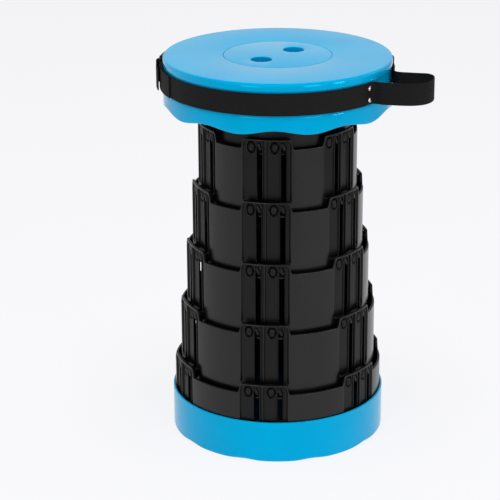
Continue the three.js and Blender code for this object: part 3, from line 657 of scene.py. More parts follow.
def tier_wall(tier, bottom, top):
    """The wall of a tier with its slots, its stepped rim and the relief of its panels."""
    radius, height = tier_radius(tier), top - bottom
    half_sector = math.pi * radius / PANEL_COUNT
    stretches = [
        (-TAB_WIDTH / 2 - TAB_SLOPE - WALL_RAMP, COARSE_STEP),
        (RECESS_LEFT - RECESS_RAMP / 2, FINE_STEP),
        (RECESS_LEFT + RECESS_RAMP / 2, EDGE_STEP),
    ]
    for offset in SLOT_OFFSETS:
        slot_left, slot_right = offset - SLOT_WIDTH / 2, offset + SLOT_WIDTH / 2
        stretches += [
            (slot_left - SLOT_EDGE_ROUND - LIP_WIDTH, LIP_STEP),
            (slot_left - SLOT_EDGE_ROUND, EDGE_STEP),
            (slot_left, EDGE_STEP / 2),
            (slot_right, FINE_STEP),
            (slot_right + SLOT_EDGE_ROUND, EDGE_STEP / 2),
            (slot_right + SLOT_EDGE_ROUND + LIP_WIDTH, EDGE_STEP),
        ]
        if offset < PARTING_MIDDLE:
            parting = (PARTING_WIDTH + PARTING_RAMP) / 2
            stretches += [(PARTING_MIDDLE - parting, FINE_STEP), (PARTING_MIDDLE + parting, EDGE_STEP)]
    stretches += [
        (RECESS_RIGHT - RECESS_RAMP / 2, FINE_STEP),
        (RECESS_RIGHT + RECESS_RAMP / 2, EDGE_STEP),
        (TAB_WIDTH / 2 + TAB_SLOPE + WALL_RAMP, EDGE_STEP * 2),
        (half_sector, COARSE_STEP),
    ]
    across = filled(-half_sector, stretches)[:-1]
    drops = [
        (TIER_RIM_ROUND, EDGE_STEP),
        (SLOT_TOP, EDGE_STEP),
        (RIBBED_TOP + RIB_START, BOSS_STEP),
        (height - PAD_HEIGHT - RECESS_CORNER, ROW_STEP),
        (height - PAD_HEIGHT + WALL_RAMP, FINE_STEP),
        (height - SLOT_FOOT, ROW_STEP),
        (height, ROW_STEP),
    ]
    down = filled(0, drops)
    across_grid, down_grid = np.array(across)[:, None], np.array(down)[None, :]
    depths, backs = tier_relief(across_grid, down_grid, height)
    polish = 1 - ramp(depths / WALL_RAMP)
    back_polish = 1 - 2 * ramp(np.array(down) / TAB_RISE - 1)
    shoulder = (TAB_WIDTH / 2 + TAB_SLOPE - np.abs(across_grid)) / TAB_SLOPE
    rise = height - TAB_RISE * (1 - ramp(shoulder))
    heights = bottom + rise * (1 - down_grid / height)
    grids = []
    for layer in (depths, depths + EDGE_LOOP, backs - EDGE_LOOP, backs):
        grid = []
        for middle in panel_angles():
            for i, arc_length in enumerate(across):
                turn = middle + arc_length / radius
                x, y = math.sin(turn), -math.cos(turn)
                grid.append([(x * (radius - d), y * (radius - d), z) for d, z in zip(layer[i], heights[i])])
        grids.append(grid)
    half = SLOT_WIDTH / 2
    in_slot = [any(-half <= a - offset + WELD < half for offset in SLOT_OFFSETS) for a in across]
    in_length = [SLOT_TOP - WELD <= d < height - SLOT_FOOT - WELD for d in down[:-1]]
    return slab(grids, polish, back_polish, lambda i, j: not (in_slot[i % len(across)] and in_length[j]))


black_plastic = moulded_black_polypropylene("moulded_black_polypropylene")
for tier in range(2, TIER_COUNT + 1):
    low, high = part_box(f"tier_{tier}")
    bottom, top = low.z / MM, high.z / MM
    wall = merged(tier_wall(tier, bottom, top), slot_corners(tier, top))
    if tier < TIER_COUNT:
        wall = merged(wall, foot_parts(tier, bottom))
    new_piece(f"moulded_tier_{tier}", wall, black_plastic, f"tier_{tier}")

# Tier 1
# The smallest ring is a plain tube of the same black polypropylene. A web across its top carries six screw
# columns, by which it hangs from the seat, and its lugs run in the slots of tier 2.
TOP_WEB = 3
WEB_OPENING = 51.5
WEB_TOP = 440.2
WEB_FILLET = 2
COLUMN_LENGTH = 12
COLUMN_RADIUS = 3.5

low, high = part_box("tier_1")
top_bottom, top_top = low.z / MM, high.z / MM
top_inner = TOP_TIER_RADIUS - TIER_WALL
top_ring = revolved(
    [
        (top_inner, top_bottom),
        (TOP_TIER_RADIUS, top_bottom),
        *arc(TOP_TIER_RADIUS - TIER_RIM_ROUND, top_top - TIER_RIM_ROUND, TIER_RIM_ROUND, 0, 90),
        (top_inner, top_top),
        (top_inner, WEB_TOP),
        (WEB_OPENING, WEB_TOP),
        (WEB_OPENING, WEB_TOP - TOP_WEB),
        (top_inner - WEB_FILLET, WEB_TOP - TOP_WEB),
        (top_inner, WEB_TOP - TOP_WEB - WEB_FILLET),
    ]
)
columns = at_screws(
    "seat_screw",
    [
        (SCREW_HOLE_RADIUS, WEB_TOP - COLUMN_LENGTH),
        (COLUMN_RADIUS, WEB_TOP - COLUMN_LENGTH),
        (COLUMN_RADIUS, WEB_TOP - FUSE_DEPTH),
        (SCREW_HOLE_RADIUS, WEB_TOP - FUSE_DEPTH),
    ],
)
top_ring = merged(top_ring, columns + foot_parts(1, top_bottom))
new_piece("moulded_tier_1", top_ring, black_plastic, "tier_1")

# Seat shell
# A flat round top with a deep skirt, injection-moulded from the same blue polypropylene. A channel round the
# skirt seats the strap, ten waves shape its lower edge, and a stepped neck holds the centre plate.
SEAT_TOP = 3
SKIRT_WALL = 3
SEAT_EDGE_ROUND = 2
SEAT_BROW_ROUND = 14
SEAT_BROW_TILT = 14
SKIRT_EDGE_ROUND = 1.1
SKIRT_DROP = 55.5
SKIRT_STRAIGHT = 3.3
WAVE_COUNT = 10
WAVE_HEIGHT = 2.5
WAVE_ANGLE = -1.5
STRAP_WIDTH = 25.3
CHANNEL_DEPTH = 0.7
CHANNEL_MARGIN = 1
CHANNEL_ROUND = 0.6
CHANNEL_SHOULDER = 3
SHOULDER_STEPS = 8
EDGE_ARC_STEPS = 10
SMALL_ARC_STEPS = 4
PLATE_SEAT_RADIUS = 61.9
PLATE_SEAT_DEPTH = 2.7
PLATE_SEAT_ROUND = 0.5
LEDGE_RADIUS = 59
SCREW_FLOOR_DEPTH = 6.7
SCREW_FLOOR = 2.8
NECK_RADIUS = 48
NECK_WALL = 3
RIVET_HOLE_RADIUS = 1.8
RIVETS = ("front_rivet_upper", "front_rivet_lower", "back_rivet_upper", "back_rivet_lower")

seat_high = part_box("seat_shell")[1] / MM
seat_radius, seat_top = seat_high.x, seat_high.z
skirt_inner = seat_radius - SKIRT_WALL
skirt_low = seat_top - SKIRT_DROP
seat_under = seat_top - SEAT_TOP
strap_low, strap_high = (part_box("strap_buckle")[i].z / MM for i in (0, 1))
strap_middle = (strap_low + strap_high) / 2
channel_half = STRAP_WIDTH / 2 + CHANNEL_MARGIN
channel_floor = seat_radius - CHANNEL_DEPTH
channel_top, channel_foot = strap_middle + channel_half, strap_middle - channel_half
brow_tilt = math.radians(SEAT_BROW_TILT)
brow_radius = seat_radius - SEAT_BROW_ROUND * (1 - math.cos(brow_tilt))
edge_run = SEAT_EDGE_ROUND * math.cos(brow_tilt)
brow_foot = seat_top - SEAT_EDGE_ROUND * (1 - math.sin(brow_tilt)) - SEAT_BROW_ROUND * math.sin(brow_tilt)
shoulder = [
    (channel_floor + x * CHANNEL_DEPTH, channel_foot - (1 - z) * CHANNEL_SHOULDER)
    for x, z in arc(0, 0, 1, 90, 0, SHOULDER_STEPS)[1:]
]


def skirt_wave(radius, angle, height):
    """Rise and fall of the skirt's lower edge."""
    if radius < skirt_inner - WELD or height > skirt_low + 2 * SKIRT_EDGE_ROUND:
        return 0
    return WAVE_HEIGHT * math.cos(WAVE_COUNT * (angle - math.radians(WAVE_ANGLE)))


screw_floor_top = seat_top - SCREW_FLOOR_DEPTH
screw_floor_foot = screw_floor_top - SCREW_FLOOR
plate_seat = seat_top - PLATE_SEAT_DEPTH
plate_lip = (PLATE_SEAT_RADIUS + PLATE_SEAT_ROUND, seat_top - PLATE_SEAT_ROUND, PLATE_SEAT_ROUND)
seat_edge = (brow_radius - edge_run, seat_top - SEAT_EDGE_ROUND, SEAT_EDGE_ROUND)
channel_lip = (seat_radius - CHANNEL_ROUND, channel_top + CHANNEL_ROUND, CHANNEL_ROUND)
skirt_foot = skirt_low + SKIRT_EDGE_ROUND
seat = revolved(
    [
        (NECK_RADIUS, screw_floor_foot),
        (NECK_RADIUS, screw_floor_top),
        (LEDGE_RADIUS, screw_floor_top),
        (LEDGE_RADIUS, plate_seat),
        (PLATE_SEAT_RADIUS, plate_seat),
        *arc(*plate_lip, 180, 90, SMALL_ARC_STEPS),
        *arc(*seat_edge, 90, SEAT_BROW_TILT, EDGE_ARC_STEPS),
        *arc(seat_radius - SEAT_BROW_ROUND, brow_foot, SEAT_BROW_ROUND, SEAT_BROW_TILT, 0)[1:],
        *arc(*channel_lip, 0, -90, SMALL_ARC_STEPS),
        (channel_floor, channel_top),
        (channel_floor, channel_foot),
        *shoulder,
        (seat_radius, skirt_low + SKIRT_STRAIGHT),
        *arc(seat_radius - SKIRT_EDGE_ROUND, skirt_foot, SKIRT_EDGE_ROUND, 0, -90),
        *arc(skirt_inner + SKIRT_EDGE_ROUND, skirt_foot, SKIRT_EDGE_ROUND, -90, -180),
        (skirt_inner, skirt_low + SKIRT_STRAIGHT),
        (skirt_inner, seat_under),
        (PLATE_SEAT_RADIUS + NECK_WALL, seat_under),
        (LEDGE_RADIUS + NECK_WALL, screw_floor_foot),
    ],
    shape=skirt_wave,
)


def rod(radius, bottom, top):
    """The profile of a round rod about the upright axis."""
    return [(0, bottom), (radius, bottom), (radius, top), (0, top)]


seat_cuts = at_screws(
    "seat_screw", rod(SCREW_HOLE_RADIUS, screw_floor_foot - CUT_OVERRUN, screw_floor_top + CUT_OVERRUN)
)


def rivet_place(name):
    """The turn and lift that stand a piece made along the upright axis out along a rivet's own axis."""
    middle = middle_of(name)
    turn = Matrix.Rotation(math.atan2(middle.x, -middle.y), 4, "Z")
    return Matrix.Translation((0, 0, middle.z)) @ turn @ Matrix.Rotation(math.radians(90), 4, "X")


for name in RIVETS:
    hole = rod(RIVET_HOLE_RADIUS, skirt_inner - CUT_OVERRUN, seat_radius + CUT_OVERRUN)
    seat_cuts.append(revolved(hole, BORE_SEGMENTS))
    seat_cuts[-1].transform(rivet_place(name))
blue = moulded_gloss_polypropylene("moulded_gloss_polypropylene_blue")
new_piece("moulded_seat", combined(seat, seat_cuts, "DIFFERENCE"), blue, "seat_shell")

# Centre plate
# A round lid of the same blue polypropylene, snapped into the middle of the seat over the screws. Two blind
# finger wells with softly rounded rims lift it out.
PLATE_RADIUS = 61.5
PLATE_THICKNESS = 2.4
PLATE_EDGE_ROUND = 0.5
WELL_RADIUS = 12
WELL_RIM_ROUND = 1.2
WELL_WALL = 2
WELL_DEPTH = 22
WELL_FLOOR_ROUND = 2
WELL_SPACING = 58
WELL_ANGLE = 141
WELL_SEGMENTS = 72
SNAP_COUNT = 4
SNAP_WIDTH = 8
SNAP_THICKNESS = 2.2
SNAP_CLEARANCE = 0.5
SNAP_BARB = 2.1
SNAP_BARB_HEIGHT = 1.8
SNAP_ROUND = 0.3

plate_under = seat_top - PLATE_THICKNESS
well_bottom = seat_top - WELL_DEPTH
plate_edge = (PLATE_RADIUS - PLATE_EDGE_ROUND, seat_top - PLATE_EDGE_ROUND, PLATE_EDGE_ROUND)
plate_rim = arc(*plate_edge, 0, 90, SMALL_ARC_STEPS)
plate = revolved([(0, plate_under), (PLATE_RADIUS, plate_under), *plate_rim, (0, seat_top)])
outer = WELL_RADIUS + WELL_WALL
cup_bottom = well_bottom - WELL_WALL
cups, wells = [], []
for side in (-1, 1):
    cup = revolved(
        [
            (0, cup_bottom),
            *arc(outer - WELL_FLOOR_ROUND, cup_bottom + WELL_FLOOR_ROUND, WELL_FLOOR_ROUND, -90, 0),
            (outer, plate_under + FUSE_DEPTH),
            (0, plate_under + FUSE_DEPTH),
        ],
        WELL_SEGMENTS,
    )
    well = revolved(
        [
            (0, well_bottom),
            *arc(WELL_RADIUS - WELL_FLOOR_ROUND, well_bottom + WELL_FLOOR_ROUND, WELL_FLOOR_ROUND, -90, 0),
            *arc(WELL_RADIUS + WELL_RIM_ROUND, seat_top - WELL_RIM_ROUND, WELL_RIM_ROUND, 180, 90),
            (WELL_RADIUS + WELL_RIM_ROUND, seat_top + CUT_OVERRUN),
            (0, seat_top + CUT_OVERRUN),
        ],
        WELL_SEGMENTS,
    )
    place = Matrix.Rotation(math.radians(WELL_ANGLE), 4, "Z")
    place = place @ Matrix.Translation((0, side * WELL_SPACING / 2, 0))
    cup.transform(place)
    well.transform(place)
    cups.append(cup)
    wells.append(well)
plate = combined(combined(plate, cups, "UNION"), wells, "DIFFERENCE")
stem_middle = NECK_RADIUS - SNAP_CLEARANCE - SNAP_THICKNESS / 2
barb_top = screw_floor_foot - FIT_GAP
barb_middle = barb_top - SNAP_BARB_HEIGHT / 2
stem_height = plate_under + FUSE_DEPTH - barb_top + SNAP_BARB_HEIGHT
snaps = []
for i in range(SNAP_COUNT):
    angle = 2 * math.pi * i / SNAP_COUNT
    stem_place = (SNAP_ROUND, stem_middle, barb_top - SNAP_BARB_HEIGHT + stem_height / 2, angle)
    snaps.append(block(SNAP_WIDTH, SNAP_THICKNESS, stem_height, *stem_place))
    barb_place = (SNAP_ROUND, stem_middle + SNAP_BARB / 2, barb_middle, angle)
    snaps.append(block(SNAP_WIDTH, SNAP_THICKNESS + SNAP_BARB, SNAP_BARB_HEIGHT, *barb_place))
new_piece("moulded_centre_plate", merged(plate, snaps), blue, "centre_plate")

# Carrying strap
# One band of black polypropylene webbing, woven with fine lengthwise ribs. It runs round the skirt, out into
# a hand loop between two pairs of rivets, and is sewn back on itself and closed by the buckle at the left.
STRAP_THICKNESS = 1.5
STRAP_CLEARANCE = 0.4
STRAP_EDGE_ROUND = 0.7
STRAP_STEP_ANGLE = 6
FRONT_RIVET_ANGLE = 49.5
BACK_RIVET_ANGLE = 93.5
RIVET_MARGIN = 6
LOOP_REACH = 53.5
DOUBLED_LENGTH = 86
TAIL_LENGTH = 51
TAIL_END_LIFT = 6.3
LAYER_GAP = 0.3
SLACK = ((97.5, 1), (101.5, 4.2), (106, 6), (111, 4.2), (117, 1))
SLACK_END = 122
LOOP_SHARES = (
    (0, 0),
    (0.035, 0.18),
    (0.11, 0.52),
    (0.17, 0.76),
    (0.26, 0.94),
    (0.37, 1),
    (0.475, 0.97),
    (0.545, 0.9),
    (0.582, 0.8),
    (0.58, 0.6),
    (0.572, 0.35),
    (0.57, 0.17),
    (0.61, 0.06),
    (0.75, 0.02),
    (1, 0),
)
BUCKLE_ANGLE = -102
BUCKLE_BAR_PITCH = 11
BUCKLE_BAR = 3.2
BUCKLE_THICKNESS = 3
BUCKLE_LEAD = 8
BUCKLE_TURN = 3
ROUTE_STEP = 2.5
SECTION_STEPS = 16
RIB_SPACING = 2.1
PICK_SPACING = 1.5
WEBBING_BLACK = "#0a0a0b"
WEBBING_GREY = "#161617"
FUZZ_SIZE = 0.8
FUZZ_SHARE = 0.35
PICK_SHARE = 0.25
WEAVE_HIGH = 1.3
WEAVE_RELIEF = (0.8, 0.3)
WEBBING_ROUGHNESS = (0.65, 0.85)
WEBBING_SPECULAR = 0.2
WEBBING_IOR = 1.49

strap_lift = STRAP_CLEARANCE + STRAP_THICKNESS / 2
layer_step = STRAP_THICKNESS + LAYER_GAP
buckle_lift = strap_lift + STRAP_THICKNESS / 2 + STRAP_CLEARANCE
over_buckle = buckle_lift + BUCKLE_THICKNESS + LAYER_GAP + STRAP_THICKNESS / 2


def on_skirt(angle, lift):
    """A point at an angle in degrees and a lift off the skirt, seen from above."""
    distance = seat_radius + lift
    return Vector((distance * math.sin(math.radians(angle)), -distance * math.cos(math.radians(angle))))


def by_buckle(along, lift):
    """A point beside the buckle: along is towards the front end of the band."""
    turn = math.radians(BUCKLE_ANGLE)
    return on_skirt(BUCKLE_ANGLE, lift) + Vector((math.cos(turn), math.sin(turn))) * along


def angle_from_buckle(along):
    """The angle at a distance along the skirt from the buckle."""
    return BUCKLE_ANGLE + math.degrees(along / seat_radius)


def along_skirt(start, end, start_lift, end_lift):
    """Points along the skirt between two angles, with an even change of lift."""
    steps = max(1, round(abs(end - start) / STRAP_STEP_ANGLE))
    shares = [i / steps for i in range(steps + 1)]
    return [on_skirt(start + (end - start) * s, start_lift + (end_lift - start_lift) * s) for s in shares]


loop_margin = math.degrees(RIVET_MARGIN / seat_radius)
loop_start, loop_end = FRONT_RIVET_ANGLE + loop_margin, BACK_RIVET_ANGLE - loop_margin


def on_loop(shares):
    """A point of the hand loop from its shares of the angle and of the reach."""
    return on_skirt(loop_start + (loop_end - loop_start) * shares[0], strap_lift + LOOP_REACH * shares[1])


def strap_route():
    """Middle line of the webbing, seen from above, from the sewn-back end to the free tail. Behind the back
    rivets it stands off the skirt a little, by SLACK's pairs of angle and lift."""
    bar_inner, bar_outer = BUCKLE_BAR_PITCH - BUCKLE_BAR / 2, BUCKLE_BAR_PITCH + BUCKLE_BAR / 2
    turn_at = bar_inner - LAYER_GAP - STRAP_THICKNESS / 2
    clear = bar_outer + LAYER_GAP
    lead = angle_from_buckle(bar_outer + BUCKLE_LEAD)
    rear_lead = angle_from_buckle(-bar_outer - BUCKLE_LEAD) + 360
    sewn_lift = strap_lift + layer_step
    tail_lift = over_buckle + layer_step
    return [
        *along_skirt(angle_from_buckle(DOUBLED_LENGTH), lead, sewn_lift, sewn_lift),
        by_buckle(clear, over_buckle),
        by_buckle(turn_at, over_buckle),
        by_buckle(turn_at, strap_lift),
        by_buckle(clear, strap_lift),
        *along_skirt(lead, loop_start, strap_lift, strap_lift)[:-1],
        *[on_loop(shares) for shares in LOOP_SHARES],
        *along_skirt(loop_end, BACK_RIVET_ANGLE + loop_margin / 2, strap_lift, strap_lift)[1:],
        *[on_skirt(angle, strap_lift + lift) for angle, lift in SLACK],
        *along_skirt(SLACK_END, rear_lead, strap_lift, strap_lift),
        by_buckle(-clear, over_buckle),
        by_buckle(LAYER_GAP + STRAP_THICKNESS / 2 - bar_inner, over_buckle),
        by_buckle(-BUCKLE_BAR, strap_lift),
        by_buckle(BUCKLE_TURN, strap_lift),
        by_buckle(turn_at - BUCKLE_TURN, tail_lift),
        by_buckle(clear, tail_lift),
        *along_skirt(lead, angle_from_buckle(TAIL_LENGTH), tail_lift - layer_step / 2, TAIL_END_LIFT),
    ]


def smoothed(points, step):
    """Points of a smooth curve through others, with its knots spaced by the square root of their distance."""
    ends = [2 * points[0] - points[1], *points, 2 * points[-1] - points[-2]]
    curve = []
    for a, b, c, d in zip(ends, ends[1:], ends[2:], ends[3:]):
        knots = [0]
        for start, end in ((a, b), (b, c), (c, d)):
            knots.append(knots[-1] + math.sqrt((end - start).length))
        count = max(2, math.ceil((c - b).length / step))
        for i in range(count):
            t = knots[1] + (knots[2] - knots[1]) * i / count
            layer = [a, b, c, d]
            for reach, lows in ((1, (0, 1, 2)), (2, (0, 1)), (2, (1,))):
                shares = [(t - knots[low]) / (knots[low + reach] - knots[low]) for low in lows]
                layer = [here.lerp(there, share) for here, there, share in zip(layer, layer[1:], shares)]
            curve.append(layer[0])
    return curve + [points[-1]]


def band(route, width, thickness, edge):
    """A band of webbing along a route, with rounded edges, and its length and width laid out in a UV map."""
    mesh = bmesh.new()
    layout = mesh.loops.layers.uv.new("webbing_mm")
    spots = [width * (i / SECTION_STEPS - 0.5) for i in range(SECTION_STEPS + 1)]
    spots = sorted({*spots, width / 2 - edge, edge - width / 2, width / 2 - edge / 3, edge / 3 - width / 2})
    halves = []
    for spot in spots:
        over = max(0, abs(spot) - width / 2 + edge) / edge
        halves.append(thickness / 2 * math.sqrt(max(0, 1 - over * over)))
    section = list(zip(spots, halves)) + [(s, -h) for s, h in zip(spots, halves)][-2:0:-1]
    rings, lengths = [], [0]
    for i, point in enumerate(route):
        if i:
            lengths.append(lengths[-1] + (point - route[i - 1]).length)
        along = (route[min(i + 1, len(route) - 1)] - route[max(i - 1, 0)]).normalized()
        side = Vector((along.y, -along.x))
        ring = [(point + side * half, strap_middle + spot) for spot, half in section]
        rings.append([mesh.verts.new((flat.x, flat.y, height)) for flat, height in ring])
    for i, (here, there) in enumerate(zip(rings, rings[1:])):
        for j in range(len(section)):
            k = (j + 1) % len(section)
            face = mesh.faces.new((here[j], here[k], there[k], there[j]))
            for loop, (row, spot) in zip(face.loops, [(i, j), (i, k), (i + 1, k), (i + 1, j)]):
                loop[layout].uv = (lengths[row], section[spot][0])
    mesh.faces.new(rings[0])
    mesh.faces.new(rings[-1][::-1])
    bmesh.ops.recalc_face_normals(mesh, faces=mesh.faces)
    return mesh


def woven_polypropylene(name):
    """Black polypropylene webbing. The warp stands up in ribs along the band and the weft crosses them in
    short picks; both are laid out in the band's own millimetres, so they follow it round every bend."""
    material, tree, surface, place = new_material(name)
    laid = add_node(tree, "UVMap", uv_map="webbing_mm").outputs[0]
    parts = add_node(tree, "SeparateXYZ", {0: laid})
    waves = []
    for part, spacing in ((1, RIB_SPACING), (0, PICK_SPACING)):
        turned = calculated(tree, "MULTIPLY", parts.outputs[part], 2 * math.pi / spacing)
        waves.append(calculated(tree, "COSINE", turned))
    rib = ranged(tree, waves[0], -1, 1, 0, 1)
    pick = calculated(tree, "MULTIPLY", waves[1], waves[0])
    fuzz = noise(tree, place, FUZZ_SIZE, FINE_DETAIL)
    crossed = calculated(tree, "MULTIPLY_ADD", pick, PICK_SHARE, rib)
    height = calculated(tree, "MULTIPLY_ADD", fuzz, FUZZ_SHARE, crossed)
    shader = {
        # Colour by the weave's height: its deeper parts are painted darker as shade; the fuzz varies it at
        # random
        "Base Color": tinted(tree, ranged(tree, height, 0, WEAVE_HIGH, 0, 1), WEBBING_BLACK, WEBBING_GREY),
        "Roughness": ranged(tree, fuzz, *NOISE_RANGE, *WEBBING_ROUGHNESS),
        "Normal": bumped(tree, height, WEAVE_RELIEF),
        "IOR": WEBBING_IOR,
        "Specular IOR Level": WEBBING_SPECULAR,
    }
    return shaded(material, tree, surface, shader)


route = smoothed(strap_route(), ROUTE_STEP)
strap = band(route, STRAP_WIDTH, STRAP_THICKNESS, STRAP_EDGE_ROUND)
webbing = woven_polypropylene("woven_black_polypropylene")
new_piece("woven_strap", strap, webbing, "carry_strap")

# Buckle
# A flat three-bar slide, moulded from black acetal. The band's sewn end turns round its front bar, and the
# free end is threaded over the same bar, so that the band can be drawn tight.
BUCKLE_HEIGHT = 34
BUCKLE_RAIL_GAP = 0.6
BUCKLE_CORNER = 2
BUCKLE_ROUND = 0.6
CORNER_STEPS = 5
SHARP_CORNER = 60
ACETAL_BLACK = "#151516"
ACETAL_GREY = "#1d1d1f"
ACETAL_GRAIN = 0.6
ACETAL_CLOUD = 12
ACETAL_RELIEF = (0.4, 0.06)
ACETAL_ROUGHNESS = (0.42, 0.55)
ACETAL_IOR = 1.48


def fine_grained(name, colour, other, size, relief, roughness, tint_size=None, **shader):
    """A surface with a fine grain, which moves its roughness, and its colour where that has no tint size of
    its own. The buckle's matt mould leaves a grain of 0.1 mm, which is drawn at 0.6 mm so that it shows."""
    material, tree, surface, place = new_material(name)
    grain = noise(tree, place, size, FINE_DETAIL)
    shader["Base Color"] = tinted(tree, noise(tree, place, tint_size) if tint_size else grain, colour, other)
    shader["Roughness"] = ranged(tree, grain, *NOISE_RANGE, *roughness)
    shader["Normal"] = bumped(tree, grain, relief)
    return shaded(material, tree, surface, shader)


def frame_outline(half_length, half_height, corner):
    """Points of a rectangle with round corners, counterclockwise."""
    points = []
    for across, up, start in ((1, 1, 0), (-1, 1, 90), (-1, -1, 180), (1, -1, 270)):
        centre = (across * (half_length - corner), up * (half_height - corner))
        points += arc(*centre, corner, start, start + 90, CORNER_STEPS)
    return points


def prism(outline, inner, outer):
    """An outline of (across, up) pairs made into a solid that faces the front, between two distances."""
    return lofted([[(x, -distance, z) for x, z in outline] for distance in (inner, outer)])


buckle_inner = seat_radius + buckle_lift
buckle_outer = buckle_inner + BUCKLE_THICKNESS
slot_length = BUCKLE_BAR_PITCH - BUCKLE_BAR
slot_middle = BUCKLE_BAR_PITCH / 2
window = frame_outline(slot_length / 2, STRAP_WIDTH / 2 + BUCKLE_RAIL_GAP, BUCKLE_CORNER / 2)
windows = []
for side in (-1, 1):
    moved = [(x + side * slot_middle, z) for x, z in window]
    windows.append(prism(moved, buckle_inner - CUT_OVERRUN, buckle_outer + CUT_OVERRUN))
outline = frame_outline(BUCKLE_BAR_PITCH + BUCKLE_BAR / 2, BUCKLE_HEIGHT / 2, BUCKLE_CORNER)
buckle = combined(prism(outline, buckle_inner, buckle_outer), windows, "DIFFERENCE")
rounded(buckle, [e for e in buckle.edges if e.calc_face_angle(0) > math.radians(SHARP_CORNER)], BUCKLE_ROUND)
turn = Matrix.Rotation(math.radians(BUCKLE_ANGLE), 4, "Z")
buckle.transform(Matrix.Translation((0, 0, strap_middle)) @ turn)
acetal = fine_grained(
    "moulded_black_acetal",
    ACETAL_BLACK,
    ACETAL_GREY,
    ACETAL_GRAIN,
    ACETAL_RELIEF,
    ACETAL_ROUGHNESS,
    ACETAL_CLOUD,
    IOR=ACETAL_IOR,
)
new_piece("moulded_buckle", buckle, acetal, "strap_buckle")

# Rivets
# Four brass rivets with bright nickel plating, pressed from outside through webbing and skirt where the hand
# loop starts and ends. Their domed heads have the soft pits of the pressing, and their tails are spread over
# washers inside the skirt.
RIVET_RADIUS = 1.5
RIVET_HEAD_RADIUS = 2.9
RIVET_HEAD = 1.6
RIVET_HEAD_EDGE = 0.35
RIVET_TAIL_RADIUS = 2.4
RIVET_TAIL = 0.8
WASHER_THICKNESS = 0.8
RIVET_SEGMENTS = 48
DOME_STEPS = 8
NICKEL = "#dcdad4"
WORN_NICKEL = "#c4c0b6"
NICKEL_PITS = 1.2
NICKEL_RELIEF = (0.3, 0.05)
NICKEL_ROUGHNESS = (0.14, 0.26)

plating = (NICKEL, WORN_NICKEL, NICKEL_PITS, NICKEL_RELIEF, NICKEL_ROUGHNESS)
nickel = fine_grained("plated_bright_nickel", *plating, Metallic=1.0)
head_seat = seat_radius + strap_lift + STRAP_THICKNESS / 2 + FIT_GAP
tail_seat = skirt_inner - 2 * FIT_GAP - WASHER_THICKNESS
dome = [math.pi / 2 * i / DOME_STEPS for i in range(DOME_STEPS + 1)]
rise = RIVET_HEAD - RIVET_HEAD_EDGE
head = [(RIVET_HEAD_RADIUS * math.cos(a), head_seat + RIVET_HEAD_EDGE + rise * math.sin(a)) for a in dome]
for name in RIVETS:
    rivet = revolved(
        [
            (0, tail_seat - RIVET_TAIL),
            (RIVET_TAIL_RADIUS - RIVET_HEAD_EDGE, tail_seat - RIVET_TAIL),
            (RIVET_TAIL_RADIUS, tail_seat - RIVET_TAIL / 2),
            (RIVET_TAIL_RADIUS, tail_seat),
            (RIVET_RADIUS, tail_seat),
            (RIVET_RADIUS, head_seat),
            (RIVET_HEAD_RADIUS, head_seat),
            *head,
        ],
        RIVET_SEGMENTS,
    )
    rivet.transform(rivet_place(name))
    new_piece(f"domed_{name}", rivet, nickel, name)

# Screws and washers
# Zinc-plated steel, out of sight: six screws under the centre plate, six under the base, and a washer behind
# each rivet. The frame's own solids stay and get the dull, slightly blue look of clear-passivated zinc.
ZINC = "#a9adb2"
DULL_ZINC = "#8f9296"
SPANGLE = 0.7
ZINC_RELIEF = (0.4, 0.03)
ZINC_ROUGHNESS = (0.3, 0.45)

zinc = fine_grained("passivated_zinc", ZINC, DULL_ZINC, SPANGLE, ZINC_RELIEF, ZINC_ROUGHNESS, Metallic=1.0)
for name, node in frame["nodes"].items():
    if "screw" in name or "washer" in name:
        node.data.materials.clear()
        node.data.materials.append(zinc)

# Floor and light
# The stool stands on white paper on a white studio floor, which its gloss mirrors duller past the paper. A
# white room, a soft lamp overhead and three low ones light it. A lamp's row gives its direction and lift in
# degrees, its distance, width and height in metres, and its watts. The low ones draw the seat's bright lines.
FLOOR_SIZE = 30
FLOOR_WHITE = "#f2f2f4"
BACKDROP_WHITE = "#fafafc"
BACKDROP_SHARE = 0.85
PAPER_FRONT = -0.92
PAPER_RIGHT = 0.84
PAPER_FADE = 0.25
PAST_PAPER = 0.4
MOTTLE_SIZE = 300
ROOM_LIGHT = 0.72
CEILING_LIGHT = 0.35
CEILING_START = 0.45
CEILING_FULL = 0.75
MIRRORED_LIGHT = 0.74
AIM_HEIGHT = 0.4
LAMPS = (
    ("overhead", 0, 80, 2.4, 1.4, 1.4, 50),
    ("front_left", -25, -2, 2.2, 0.62, 0.4, 3.6),
    ("front_right", 33, -2, 2.2, 0.64, 0.4, 4.6),
    ("side_right", 60, -2, 2.2, 0.42, 0.4, 4.6),
)


def shown_share(tree):
    """1 for what the camera, a reflection or a clear piece sees, and 0 for light that falls on the object."""
    path = add_node(tree, "LightPath")
    seen, glossy, clear = [path.outputs[f"Is {ray} Ray"] for ray in ("Camera", "Glossy", "Transmission")]
    return calculated(tree, "MAXIMUM", calculated(tree, "MAXIMUM", seen, glossy), clear)


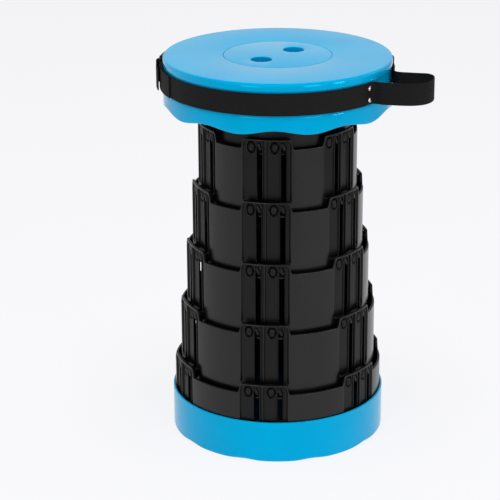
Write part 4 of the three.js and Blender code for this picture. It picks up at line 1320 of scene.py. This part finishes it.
bpy.ops.mesh.primitive_plane_add(size=FLOOR_SIZE)
floor = bpy.context.object
floor.name = "studio_floor"
floor_paint, tree, surface, place = new_material("matt_white_floor_paint")
mottle = tinted(tree, noise(tree, place, MOTTLE_SIZE), FLOOR_WHITE, BACKDROP_WHITE)
paint = add_node(tree, "BsdfDiffuse", {"Color": mottle})
spot = add_node(tree, "SeparateXYZ", {0: place})
past_front = ranged(tree, spot.outputs[1], PAPER_FRONT, PAPER_FRONT - PAPER_FADE, 0, 1)
past_right = ranged(tree, spot.outputs[0], PAPER_RIGHT, PAPER_RIGHT + PAPER_FADE, 0, 1)
past = calculated(tree, "MAXIMUM", past_front, past_right)
mirrored = add_node(tree, "LightPath").outputs["Is Glossy Ray"]
strength = ranged(tree, calculated(tree, "MULTIPLY", past, mirrored), 0, 1, 1, PAST_PAPER)
glow = add_node(tree, "Emission", {"Color": BACKDROP_WHITE, "Strength": strength})
share = calculated(tree, "MULTIPLY", shown_share(tree), BACKDROP_SHARE)
both = add_node(tree, "MixShader", {0: share, 1: paint.outputs[0], 2: glow.outputs[0]})
tree.links.new(both.outputs[0], surface)
floor.data.materials.append(floor_paint)

world = bpy.data.worlds.new("white_room")
world.use_nodes = True
tree = world.node_tree
tree.nodes.clear()
way = add_node(tree, "TexCoord").outputs["Generated"]
upwards = add_node(tree, "SeparateXYZ", {0: way})
height_share = ranged(tree, upwards.outputs[2], CEILING_START, CEILING_FULL, 1, CEILING_LIGHT)
level = ranged(tree, shown_share(tree), 0, 1, ROOM_LIGHT, MIRRORED_LIGHT)
strength = calculated(tree, "MULTIPLY", level, height_share)
room = add_node(tree, "Background", {"Color": BACKDROP_WHITE, "Strength": strength})
add_node(tree, "OutputWorld", {"Surface": room.outputs[0]})
scene.world = world

aim = Vector((0, 0, AIM_HEIGHT))
for name, azimuth, elevation, distance, width, height, power in LAMPS:
    lamp_data = bpy.data.lights.new(name, "AREA")
    lamp_data.shape = "RECTANGLE"
    lamp_data.size = width
    lamp_data.size_y = height
    lamp_data.energy = power
    lamp = bpy.data.objects.new(name, lamp_data)
    turn, lift = math.radians(azimuth), math.radians(elevation)
    away = Vector((math.sin(turn) * math.cos(lift), -math.cos(turn) * math.cos(lift), math.sin(lift)))
    lamp.location = aim + away * distance
    lamp.rotation_mode = "QUATERNION"
    lamp.rotation_quaternion = away.to_track_quat("Z", "Y")
    lamp.visible_glossy = name != "overhead"
    scene.collection.objects.link(lamp)

scene.view_settings.view_transform = "Standard"
